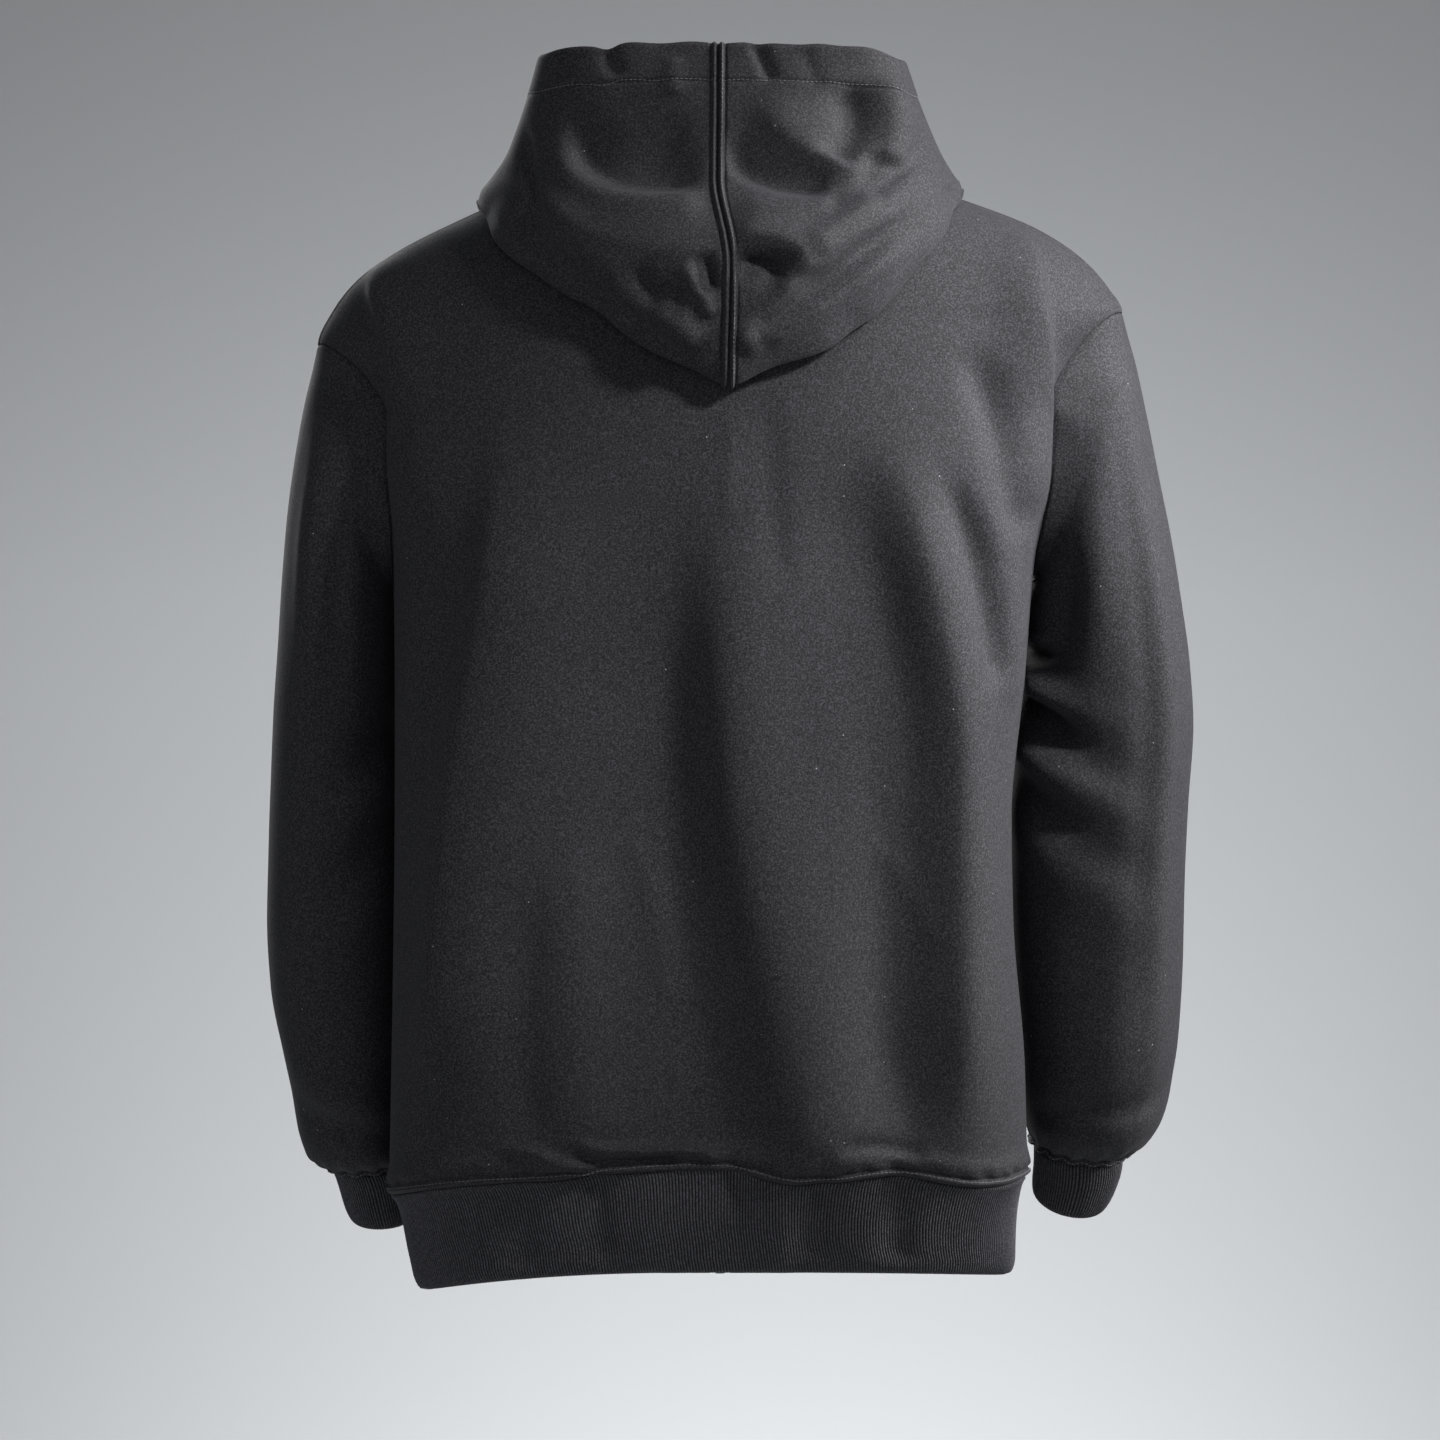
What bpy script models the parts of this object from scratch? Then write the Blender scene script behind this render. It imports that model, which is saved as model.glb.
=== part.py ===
"""Zip-up hoodie in its worn, hollow form, built from the pieces that a maker cuts and sews.

Metres, +Z up, front towards -Y, the wearer's left towards +X. The origin is the middle of the
neck opening, level with the neck ends of the shoulder seams, where the wearer holds it up.

The trunk is one master surface: closed loops stacked from the rib's bottom edge to the neckline.
Back, fronts, hem rib and zip are cut out of it by their seam lines, so that they meet exactly.
Sleeves start on the armhole loop of that surface, and the hood's under layer lies on it.
"""

import math
from collections import namedtuple

import bmesh
import bpy
import numpy as np
from mathutils import Matrix, Vector

# ---------------------------------------------------------------- driving sizes, in metres
CLOTH = 0.0022  # heavy fleece-backed sweatshirt jersey
HOOD_HEM = 0.0036  # the same cloth turned over along the hood's rim
RIB_CLOTH = 0.0026  # doubled rib knit
SEAM_GAP = 0.0003  # between two pieces at a seam
SLEEVE_CLEARANCE = 0.0035  # between a sleeve and the trunk that it hangs against
SHOULDER_TIP = -0.1015  # side height of the armhole's top
UNDERARM = -0.270  # side height of the armhole's bottom
HEM_SEAM = -0.6775  # side height of the seam between body and rib
HEM_END = -0.743  # side height of the rib's bottom edge
ARMHOLE_BACK = 0.062  # half width of the armhole along the back
ARMHOLE_FRONT = 0.063  # half width of the armhole along the front
ZIP_OPENING = 0.007  # from the centre front to each front's edge
HOOD_FRONT = math.radians(82.5)  # from each side to where a hood panel ends beside the zip
HEM_ROWS = [HEM_SEAM - SEAM_GAP / 2, -0.684, -0.715, HEM_END]
HEM_RIBS = 144  # raised ribs round the hem, each for three or four fine ones
CUFF_RIBS = 24
SHARP_ANGLE = math.radians(50)  # an edge that bends more is shaded as an edge
RIB_DROP = 0.0005  # of the rib's top below the panels' wavy lower edge
RIB_RELIEF = 0.0008

# grids: rows go down a piece and columns across it
ARMHOLE_STEPS = 12  # rows beside the armhole, and half the columns of a sleeve
ARMHOLE_SPREAD = 0.07  # how far above and below the armhole a panel's columns make way for it
BODY_STEPS = 9  # rows from hem seam to underarm
YOKE_STEPS = 5  # rows from shoulder tip to neckline
BACK_COLUMNS = 28
FRONT_COLUMNS = 12
HOOD_COLUMNS = 30  # round both hood panels
# The share of a piece's columns, from each edge, that make way for the armhole.
EDGE_SHARE = {"back_panel": 0.28, "front_left": 0.6, "front_right": 0.6, "hem_rib": 0.5}
SLEEVE_STEPS = 18
ROW_APART = 0.002  # least distance between two rows of a zip strip

LEFT, RIGHT = 1, -1
CENTRE_FRONT = 1.5 * math.pi  # loop angles start at the left side and turn towards the back
TURN = 2 * math.pi
RING_ANGLES = np.linspace(0, TURN, 721)
RIGHT_SIDE_AT, CENTRE_FRONT_AT = 360, 540  # places of these angles in RING_ANGLES

# ---------------------------------------------------------------- tables
# A closed loop seen from above is a rounded oval. x_left and x_right are its ends, y_back and
# y_front its reach to the back and front of the line y_side, and square_* how boxy it is. z_*
# are the heights of its four ends.
Loop = namedtuple(
    "Loop",
    "side_z z_left z_right z_back z_front x_left x_right y_side y_back y_front square_back square_front",
)
BODY_LOOPS = [
    Loop(-0.7430, -0.7490, -0.7375, -0.7340, -0.7420, 0.2040, 0.1985, 0.000, 0.105, -0.112, 2.5, 2.5),
    Loop(-0.7150, -0.7210, -0.7090, -0.7055, -0.7140, 0.2100, 0.1990, 0.002, 0.110, -0.119, 2.5, 2.5),
    Loop(-0.6820, -0.6880, -0.6755, -0.6715, -0.6795, 0.2180, 0.2035, 0.005, 0.115, -0.127, 2.6, 2.6),
    Loop(-0.6775, -0.6840, -0.6710, -0.6670, -0.6750, 0.2222, 0.2066, 0.006, 0.118, -0.131, 2.6, 2.6),
    Loop(-0.6600, -0.6655, -0.6545, -0.6505, -0.6580, 0.2220, 0.2062, 0.008, 0.121, -0.136, 2.7, 2.6),
    Loop(-0.6000, -0.6040, -0.5960, -0.5930, -0.6000, 0.2208, 0.2046, 0.014, 0.120, -0.140, 2.8, 2.6),
    Loop(-0.5000, -0.5020, -0.4980, -0.4970, -0.5000, 0.2190, 0.1968, 0.022, 0.121, -0.143, 2.8, 2.6),
    Loop(-0.4300, -0.4310, -0.4290, -0.4280, -0.4310, 0.2182, 0.1955, 0.026, 0.124, -0.144, 2.8, 2.6),
    Loop(-0.3500, -0.3520, -0.3480, -0.3490, -0.3530, 0.2180, 0.2030, 0.030, 0.129, -0.143, 2.8, 2.6),
    Loop(-0.2700, -0.2750, -0.2650, -0.2690, -0.2780, 0.2185, 0.2100, 0.033, 0.133, -0.140, 2.8, 2.5),
    Loop(-0.2200, -0.2260, -0.2140, -0.2170, -0.2350, 0.2188, 0.2155, 0.034, 0.132, -0.135, 2.8, 2.4),
    Loop(-0.1700, -0.1770, -0.1630, -0.1640, -0.1930, 0.2205, 0.2200, 0.030, 0.127, -0.127, 2.6, 2.3),
    Loop(-0.1300, -0.1390, -0.1210, -0.1210, -0.1610, 0.2440, 0.2440, 0.015, 0.119, -0.119, 2.3, 2.1),
    Loop(-0.1015, -0.1124, -0.0909, -0.0920, -0.1410, 0.2705, 0.2705, 0.003, 0.112, -0.112, 2.0, 2.0),
    Loop(-0.0815, -0.0890, -0.0740, -0.0770, -0.1310, 0.2600, 0.2610, 0.001, 0.107, -0.108, 2.0, 2.0),
    Loop(-0.0620, -0.0690, -0.0550, -0.0640, -0.1220, 0.2440, 0.2440, 0.000, 0.102, -0.104, 2.0, 2.0),
    Loop(-0.0420, -0.0487, -0.0355, -0.0510, -0.1140, 0.2150, 0.2150, 0.000, 0.096, -0.100, 2.0, 2.0),
    Loop(-0.0240, -0.0286, -0.0195, -0.0390, -0.1070, 0.1750, 0.1760, 0.000, 0.090, -0.095, 2.0, 2.0),
    Loop(-0.0093, -0.0115, -0.0070, -0.0290, -0.1010, 0.1350, 0.1350, 0.000, 0.084, -0.090, 2.0, 2.0),
    Loop(0.0000, 0.0000, 0.0000, -0.0200, -0.0950, 0.0950, 0.0950, 0.000, 0.078, -0.085, 2.0, 2.0),
]

# Where the side and shoulder seams run: the arc from the widest line, positive to the back.
SeamShift = namedtuple("SeamShift", "side_z shift")
SEAM_SHIFTS = [
    SeamShift(-0.7430, -0.030),
    SeamShift(-0.2700, -0.034),
    SeamShift(-0.1900, -0.038),
    SeamShift(-0.1300, -0.012),
    SeamShift(-0.1015, 0.010),
    SeamShift(0.0000, 0.012),
]

# The hem seam dips where the cloth bunches over the rib at the back.
HemDip = namedtuple("HemDip", "x depth width")
HEM_DIPS = [
    HemDip(-0.054, 0.0060, 0.042),
    HemDip(-0.172, 0.0075, 0.040),
    HemDip(0.118, 0.0025, 0.040),
]
DIP_REACH = 0.045  # above and below the seam
DIP_FADE = 0.05  # towards the rib's bottom edge and round to the side
DIP_FROM = 0.02  # y at which a dip starts

# A fold is a soft ridge, or a trough where its height is negative, along a smooth line through
# points (x, z) seen from behind or in front. Its two flanks have their own widths: `left` on the
# wearer's left of the line and `right` on the right.
Fold = namedtuple("Fold", "side line left right height")
FOLDS = [
    Fold("back", ((0.128, -0.15), (0.155, -0.3), (0.172, -0.44), (0.19, -0.64)), 0.034, 0.030, 0.0080),
    Fold("back", ((0.012, -0.15), (0.03, -0.3), (0.026, -0.45), (-0.012, -0.65)), 0.050, 0.026, -0.0085),
    Fold("back", ((-0.012, -0.15), (-0.014, -0.33), (-0.028, -0.5), (-0.06, -0.65)), 0.022, 0.034, 0.0075),
    Fold("back", ((-0.088, -0.16), (-0.118, -0.33), (-0.126, -0.48), (-0.104, -0.64)), 0.036, 0.020, -0.0085),
    Fold("back", ((-0.112, -0.17), (-0.148, -0.33), (-0.16, -0.47), (-0.158, -0.65)), 0.018, 0.030, 0.0075),
    Fold("back", ((0.084, -0.42), (0.092, -0.54), (0.086, -0.67)), 0.026, 0.022, 0.0045),
    Fold("back", ((-0.17, -0.095), (-0.188, -0.16), (-0.204, -0.25)), 0.014, 0.016, -0.0045),
    Fold("front", ((0.104, -0.15), (0.128, -0.33), (0.14, -0.48), (0.152, -0.65)), 0.030, 0.026, 0.0070),
    Fold("front", ((-0.1, -0.15), (-0.122, -0.33), (-0.134, -0.48), (-0.142, -0.65)), 0.028, 0.032, 0.0070),
    Fold("front", ((0.06, -0.2), (0.066, -0.36), (0.072, -0.5), (0.074, -0.66)), 0.026, 0.030, -0.0060),
    Fold("front", ((-0.058, -0.22), (-0.066, -0.36), (-0.072, -0.52), (-0.078, -0.66)), 0.028, 0.024, -0.0055),
    Fold("front", ((0.176, -0.25), (0.188, -0.42), (0.198, -0.62)), 0.020, 0.020, -0.0045),
    Fold("front", ((-0.168, -0.24), (-0.176, -0.42), (-0.182, -0.6)), 0.020, 0.020, -0.0045),
]
LINE_STEPS = 14  # straight stretches that stand for a fold's smooth line
FOLD_STARTS, FOLD_ENDS = 0.3, 0.12  # shares of a fold's length over which it rises and fades
FOLD_FADE = 0.05  # a fold fades over this depth from the side
FOLD_FROM = 0.6  # and starts at this share of it
SMALL_RISE, SMALL_TURN = 0.0006, 0.012  # steps for the trunk's normals, in metres and radians

# A sleeve's rings: its outer and inner ends seen from the front, where it lies front to back,
# and how far its back hangs below its middle. Both sides are given as positive x.
Ring = namedtuple("Ring", "outer_x outer_z inner_x inner_z y_mid half_depth back_drop")
SLEEVES = {
    LEFT: [
        Ring(0.2775, -0.1420, 0.2225, -0.2790, -0.010, 0.0665, 0.000),
        Ring(0.2850, -0.1800, 0.2240, -0.2860, -0.013, 0.0690, 0.000),
        Ring(0.2915, -0.2250, 0.2235, -0.2970, -0.018, 0.0705, 0.001),
        Ring(0.2955, -0.2700, 0.2220, -0.3135, -0.024, 0.0715, 0.002),
        Ring(0.2985, -0.3150, 0.2200, -0.3360, -0.031, 0.0720, 0.003),
        Ring(0.3015, -0.3560, 0.2175, -0.3660, -0.038, 0.0715, 0.004),
        Ring(0.3035, -0.4000, 0.2150, -0.4030, -0.044, 0.0700, 0.006),
        Ring(0.3055, -0.4500, 0.2130, -0.4500, -0.051, 0.0690, 0.008),
        Ring(0.3068, -0.5000, 0.2115, -0.4980, -0.060, 0.0680, 0.010),
        Ring(0.3045, -0.5430, 0.2105, -0.5420, -0.068, 0.0670, 0.012),
        Ring(0.2965, -0.5850, 0.2090, -0.5830, -0.076, 0.0655, 0.013),
        Ring(0.2905, -0.6180, 0.2080, -0.6150, -0.082, 0.0640, 0.014),
        Ring(0.2855, -0.6450, 0.2070, -0.6410, -0.087, 0.0600, 0.014),
        Ring(0.2800, -0.6580, 0.2070, -0.6530, -0.089, 0.0520, 0.013),
        Ring(0.2665, -0.6640, 0.2110, -0.6590, -0.090, 0.0390, 0.011),
    ],
    RIGHT: [
        Ring(0.2785, -0.1200, 0.2150, -0.2690, -0.010, 0.0665, 0.000),
        Ring(0.2875, -0.1600, 0.2155, -0.2765, -0.013, 0.0690, 0.000),
        Ring(0.2960, -0.2020, 0.2145, -0.2885, -0.018, 0.0705, 0.001),
        Ring(0.3045, -0.2430, 0.2120, -0.3050, -0.024, 0.0715, 0.002),
        Ring(0.3115, -0.2850, 0.2085, -0.3280, -0.031, 0.0720, 0.003),
        Ring(0.3175, -0.3280, 0.2045, -0.3550, -0.038, 0.0715, 0.004),
        Ring(0.3200, -0.3700, 0.2000, -0.3850, -0.044, 0.0700, 0.006),
        Ring(0.3170, -0.4200, 0.1965, -0.4270, -0.050, 0.0690, 0.008),
        Ring(0.3145, -0.4750, 0.1950, -0.4760, -0.057, 0.0680, 0.010),
        Ring(0.3136, -0.5250, 0.1960, -0.5230, -0.064, 0.0670, 0.012),
        Ring(0.3110, -0.5750, 0.1985, -0.5700, -0.070, 0.0655, 0.013),
        Ring(0.3060, -0.6130, 0.2015, -0.6060, -0.075, 0.0640, 0.014),
        Ring(0.2985, -0.6370, 0.2050, -0.6300, -0.079, 0.0600, 0.014),
        Ring(0.2890, -0.6490, 0.2090, -0.6420, -0.081, 0.0520, 0.013),
        Ring(0.2750, -0.6570, 0.2125, -0.6500, -0.082, 0.0390, 0.012),
    ],
}
CUFFS = {
    LEFT: [
        Ring(0.2655, -0.6646, 0.2105, -0.6596, -0.090, 0.0375, 0.011),
        Ring(0.2610, -0.6750, 0.2080, -0.6700, -0.091, 0.0345, 0.010),
        Ring(0.2560, -0.6920, 0.2050, -0.6870, -0.093, 0.0315, 0.010),
        Ring(0.2520, -0.7040, 0.2030, -0.6990, -0.095, 0.0300, 0.010),
    ],
    RIGHT: [
        Ring(0.2740, -0.6576, 0.2130, -0.6506, -0.082, 0.0375, 0.012),
        Ring(0.2730, -0.6690, 0.2130, -0.6620, -0.083, 0.0345, 0.012),
        Ring(0.2680, -0.6840, 0.2120, -0.6760, -0.085, 0.0315, 0.012),
        Ring(0.2620, -0.6960, 0.2110, -0.6860, -0.087, 0.0300, 0.012),
    ],
}
RING_SQUARE = 2.2  # how boxy a sleeve's rings are
SIDE_TURN = 1.2  # loop angle either side of the trunk's side that a sleeve can touch
SIDE_SAMPLES = 121  # points each way of the trunk's side that a sleeve is kept clear of

# A fold across a sleeve: the ring it lies on, the angle of its middle (0 outside, 90 behind,
# 180 inside), how many rings it runs down per degree, its half widths, and its height.
SleeveFold = namedtuple("SleeveFold", "side ring angle slope rings degrees height")
SLEEVE_FOLDS = [
    SleeveFold(RIGHT, 6.0, 130, -0.012, 0.75, 48, -0.0045),
    SleeveFold(RIGHT, 7.6, 120, -0.014, 0.75, 50, -0.0050),
    SleeveFold(RIGHT, 6.8, 75, -0.010, 0.80, 35, 0.0040),
    SleeveFold(RIGHT, 4.0, 20, 0.020, 1.20, 35, 0.0040),
    SleeveFold(RIGHT, 11.2, 95, 0.012, 0.80, 45, 0.0035),
    SleeveFold(RIGHT, 7.0, 260, 0.010, 0.80, 55, -0.0045),
    SleeveFold(RIGHT, 12.3, 250, -0.010, 0.80, 50, 0.0035),
    SleeveFold(LEFT, 6.6, 125, -0.012, 0.80, 45, -0.0045),
    SleeveFold(LEFT, 8.2, 110, -0.012, 0.80, 50, -0.0040),
    SleeveFold(LEFT, 3.4, 60, 0.015, 1.10, 40, 0.0040),
    SleeveFold(LEFT, 11.6, 80, 0.012, 0.80, 50, 0.0040),
    SleeveFold(LEFT, 7.4, 262, 0.010, 0.80, 55, -0.0045),
    SleeveFold(LEFT, 12.2, 265, -0.010, 0.80, 50, 0.0035),
]

# The hood hangs behind the neck as a pouch. Its outer layer runs down through these loops, and
# their heights leave the sides' only near the centre back.
HOOD_LOOPS = [
    Loop(0, 0.0790, 0.0760, 0.0875, -0.0560, 0.1215, 0.1245, 0.020, 0.074, -0.096, 4.0, 2.0),
    Loop(1, 0.0430, 0.0410, 0.0450, -0.0640, 0.1325, 0.1370, 0.022, 0.092, -0.106, 3.2, 2.0),
    Loop(2, 0.0130, 0.0120, -0.0050, -0.0760, 0.1440, 0.1500, 0.020, 0.114, -0.114, 2.6, 2.0),
    Loop(3, 0.0000, -0.0010, -0.0620, -0.0880, 0.1530, 0.1585, 0.014, 0.152, -0.118, 2.2, 2.0),
]
BEND_BACK, BEND_FRONT = 1.9, 1.35

# Then it turns under along this line, which is given on the trunk: its loop angle and side
# height, and how far the lowest edge and the bulge just above it stand off. hood_angle is 90 at
# the centre back, 0 at either side and -90 at the centre front.
FoldLine = namedtuple("FoldLine", "hood_angle trunk_angle side_z edge_out bulge_out")
HOOD_FOLD = [
    FoldLine(-90, -90, -0.0300, 0.0085, 0.0160),
    FoldLine(-60, -64, -0.0280, 0.0080, 0.0150),
    FoldLine(-30, -34, -0.0230, 0.0060, 0.0120),
    FoldLine(0, 0, -0.0180, 0.0050, 0.0115),
    FoldLine(20, 32, -0.0270, 0.0070, 0.0150),
    FoldLine(40, 58, -0.0640, 0.0090, 0.0200),
    FoldLine(60, 71, -0.1090, 0.0110, 0.0240),
    FoldLine(75, 79, -0.1330, 0.0120, 0.0260),
    FoldLine(90, 90, -0.1460, 0.0130, 0.0270),
]
SEAM_SPREAD = 0.6  # radians either side of the centre back that drift with the seam
BULGE_AT = 0.90  # share of the way from the neckline to the fold where the bulge is widest
UnderLayer = namedtuple("UnderLayer", "share clearance")
UNDER_LAYER = [
    UnderLayer(0.86, 0.0052),
    UnderLayer(0.55, 0.0050),
    UnderLayer(0.25, 0.0045),
    UnderLayer(0.07, 0.0024),
]
NECK_CLEARANCE = 0.0013
# The profile's knots are numbered from 0 at the rim to 10 at the neckline. The grid's rows lie
# at these places between them, and the first few have the turned hem.
HOOD_ROWS = [0, 0.45, 0.8, 1.3, 2, 2.5, 3, 3.5, 4, 4.5, 5, 5.5, 6, 7, 8, 9, 10]
TURNED_ROWS = 3
SEAM_DRIFT = [0.0013, 0.0015, 0.0020, -0.0070, -0.0060, -0.0055, -0.003, 0, 0, 0, 0]  # at the knots

# ---------------------------------------------------------------- zip sizes
TAPE_EDGE = 0.0031  # from the centre front to each tape
TAPE_WIDTH = 0.015
TAPE_THICK = 0.0008
TAPE_DEPTH = RIB_CLOTH + SEAM_GAP  # the tapes lie behind the rib's inner face
CHAIN_HALF = 0.0028
CHAIN_FRONT = -0.0006  # depths are measured out from the fronts' outer face
CHAIN_BACK = -0.0040
SLIDER_AT = -0.014  # side height of the slider's middle
SLIDER_LENGTH = 0.0100
SLIDER_WIDTH = 0.0084
SLIDER_NOSE = 0.0052
SLIDER_CLEAR = 0.0005  # between each plate and the chain
PLATE = 0.0015
POST_HALF = 0.0024
POST_TOP = 0.0042
CROWN_LENGTH = 0.0070
CROWN_HEIGHT = 0.0042
CROWN_WALL = 0.0009
CROWN_WIDTH = 0.0020
PULL_RISE = 0.0017  # the pull's axis above the slider's front plate
PULL_WIDTH = 0.0070
PULL_WINDOW = 0.0034
WINDOW_END = 0.0052
PULL_LENGTH = 0.0280
PULL_THICK = 0.0013
PULL_OUTLINE = [(0.80, 0.45), (0.92, 0.90), (0.55, 1.00)]  # shares of half its width, and of its length
BOX_LENGTH = 0.0095
BOX_PROUD = 0.0008

FINISHES = {
    "jersey": ((0.012, 0.012, 0.013, 1.0), 0.85, 0.0),
    "rib_knit": ((0.010, 0.010, 0.011, 1.0), 0.92, 0.0),
    "zip_tape": ((0.011, 0.011, 0.012, 1.0), 0.80, 0.0),
    "zip_metal": ((0.060, 0.060, 0.065, 1.0), 0.35, 1.0),
}


# ---------------------------------------------------------------- curves
def smooth_through(at, known, values):
    """Monotone cubic through the points (known, values), read at `at` and held at the ends.
    values may have any number of columns."""
    known = np.asarray(known, float)
    values = np.asarray(values, float).reshape(len(known), -1)
    step = np.diff(known)[:, None]
    slope = np.diff(values, axis=0) / step
    tangent = np.zeros_like(values)
    near, far = 2 * step[1:] + step[:-1], step[1:] + 2 * step[:-1]
    rising = slope[:-1] * slope[1:] > 0
    before, after = np.where(rising, slope[:-1], 1), np.where(rising, slope[1:], 1)
    tangent[1:-1] = np.where(rising, (near + far) / (near / before + far / after), 0)
    tangent[0], tangent[-1] = slope[0], slope[-1]
    place = np.clip(np.asarray(at, float), known[0], known[-1])
    k = np.clip(np.searchsorted(known, place, "right") - 1, 0, len(known) - 2)
    width = step[k, 0][..., None]
    t = (place - known[k])[..., None] / width
    start = values[k] * (1 + 2 * t) + tangent[k] * width * t
    end = values[k + 1] * (3 - 2 * t) - tangent[k + 1] * width * (1 - t)
    return start * (1 - t) ** 2 + end * t * t


def smooth_step(x):
    x = np.clip(x, 0.0, 1.0)
    return x * x * (3 - 2 * x)


def loop_point(loop, angle, bend_back=2.0, bend_front=2.0):
    """A point of a loop, at an angle that turns from the left side to the back."""
    cos, sin = np.cos(angle), np.sin(angle)
    behind = sin >= 0
    power = 2.0 / np.where(behind, loop.square_back, loop.square_front)
    x = np.where(cos >= 0, loop.x_left, -loop.x_right) * np.abs(cos) ** power
    reach = np.where(behind, loop.y_back, loop.y_front) - loop.y_side
    side = np.where(cos >= 0, loop.z_left, loop.z_right)
    end = np.where(behind, loop.z_back, loop.z_front)
    bend = np.abs(sin) ** np.where(behind, bend_back, bend_front)
    return np.stack([x, loop.y_side + reach * np.abs(sin) ** power, side + (end - side) * bend], -1)


def unit(vectors):
    return vectors / np.linalg.norm(vectors, axis=-1, keepdims=True)


def grid_normals(points, closed):
    """Outward normals of a grid whose rows go down and whose columns turn from left to back."""
    rise = -np.gradient(points, axis=0)
    if closed:
        run = np.roll(points, -1, axis=1) - np.roll(points, 1, axis=1)
    else:
        run = np.gradient(points, axis=1)
    return unit(np.cross(run, rise))


# ---------------------------------------------------------------- the trunk's master surface
def trunk_plain(side_z, angle):
    """The trunk by side height and loop angle, before its folds."""
    values = smooth_through(side_z, [row.side_z for row in BODY_LOOPS], [row[1:] for row in BODY_LOOPS])
    point = loop_point(Loop(side_z, *np.moveaxis(values, -1, 0)), angle)
    near_seam = np.exp(-(((side_z - HEM_SEAM) / DIP_REACH) ** 2))
    near_seam = near_seam * smooth_step((side_z - HEM_END) / DIP_FADE)
    behind = smooth_step((point[..., 1] - DIP_FROM) / DIP_FADE)
    for dip in HEM_DIPS:
        drop = dip.depth * np.exp(-(((point[..., 0] - dip.x) / dip.width) ** 2))
        point[..., 2] -= drop * near_seam * behind
    return point


def beside_line(x, z, line):
    """Signed distance from a smooth line, positive on the wearer's left of a line that runs
    down, and the share of its length: the nearest of its straight stretches is measured."""
    knots = np.array(line)
    places = np.linspace(0, len(knots) - 1, LINE_STEPS + 1)
    bent = smooth_through(places, range(len(knots)), knots)
    start, step = bent[:-1], np.diff(bent, axis=0)
    apart = np.stack([x[..., None] - start[:, 0], z[..., None] - start[:, 1]], -1)
    share = np.clip((apart * step).sum(-1) / (step**2).sum(-1), 0, 1)
    gap = apart - share[..., None] * step
    length = np.hypot(gap[..., 0], gap[..., 1])
    nearest = length.argmin(-1)[..., None]
    turned = step[:, 0] * gap[..., 1] - step[:, 1] * gap[..., 0]
    signed = np.where(turned >= 0, length, -length)
    along = (np.arange(LINE_STEPS) + share) / LINE_STEPS
    apart_at = np.take_along_axis(signed, nearest, -1)[..., 0]
    return apart_at, np.take_along_axis(along, nearest, -1)[..., 0]


def fold_height(point):
    """Height of the folds at a point, from its distance to each fold's line."""
    x, y, z = np.moveaxis(point, -1, 0)
    total = np.zeros_like(x)
    for fold in FOLDS:
        apart, share = beside_line(x, z, fold.line)
        width = np.where(apart > 0, fold.left, fold.right)
        taper = smooth_step(share / FOLD_STARTS) * smooth_step((1 - share) / FOLD_ENDS)
        facing = smooth_step((y if fold.side == "back" else -y) / FOLD_FADE - FOLD_FROM)
        total += fold.height * np.exp(-((apart / width) ** 2)) * taper * facing
    return total


def trunk(side_z, angle):
    """Points and outward normals of the trunk with its folds."""
    side_z, angle = np.broadcast_arrays(side_z, angle)
    rise = trunk_plain(side_z + SMALL_RISE, angle) - trunk_plain(side_z - SMALL_RISE, angle)
    run = trunk_plain(side_z, angle + SMALL_TURN) - trunk_plain(side_z, angle - SMALL_TURN)
    normal = unit(np.cross(run, rise))
    point = trunk_plain(side_z, angle)
    return point + normal * fold_height(point)[..., None], normal


def ring_arcs(side_z):
    """For each side height, the arc from the left side to each of RING_ANGLES."""
    ring = trunk_plain(side_z[:, None], RING_ANGLES[None, :])
    pieces = np.linalg.norm(np.diff(ring, axis=1), axis=2)
    return np.concatenate([np.zeros((len(side_z), 1)), np.cumsum(pieces, axis=1)], axis=1)


def angles_at(arcs, wanted):
    """The loop angles at the wanted arcs, row by row. Negative arcs lie before the left side."""
    angles = np.concatenate([RING_ANGLES - TURN, RING_ANGLES[1:]])
    known = np.concatenate([arcs - arcs[:, -1:], arcs[:, 1:]], axis=1)
    return np.array([np.interp(row, arc, angles) for arc, row in zip(known, wanted)])


def seam_shift(side_z):
    return smooth_through(side_z, [s.side_z for s in SEAM_SHIFTS], [s.shift for s in SEAM_SHIFTS])[..., 0]


def armhole_half(side_z):
    """The armhole's edge at a side height, as a share of its half width: an ellipse from
    underarm to shoulder tip."""
    share = (side_z - (SHOULDER_TIP + UNDERARM) / 2) / ((SHOULDER_TIP - UNDERARM) / 2)
    return np.sqrt(1 - np.clip(share, -1, 1) ** 2)


def armhole_bump(side_z):
    """How far a panel's inner columns make way for the armhole, as a share of its half width."""
    low, high = UNDERARM - ARMHOLE_SPREAD, SHOULDER_TIP + ARMHOLE_SPREAD
    share = np.clip((side_z - low) / (high - low), 0, 1)
    return 0.5 - 0.5 * np.cos(TURN * share)


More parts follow.
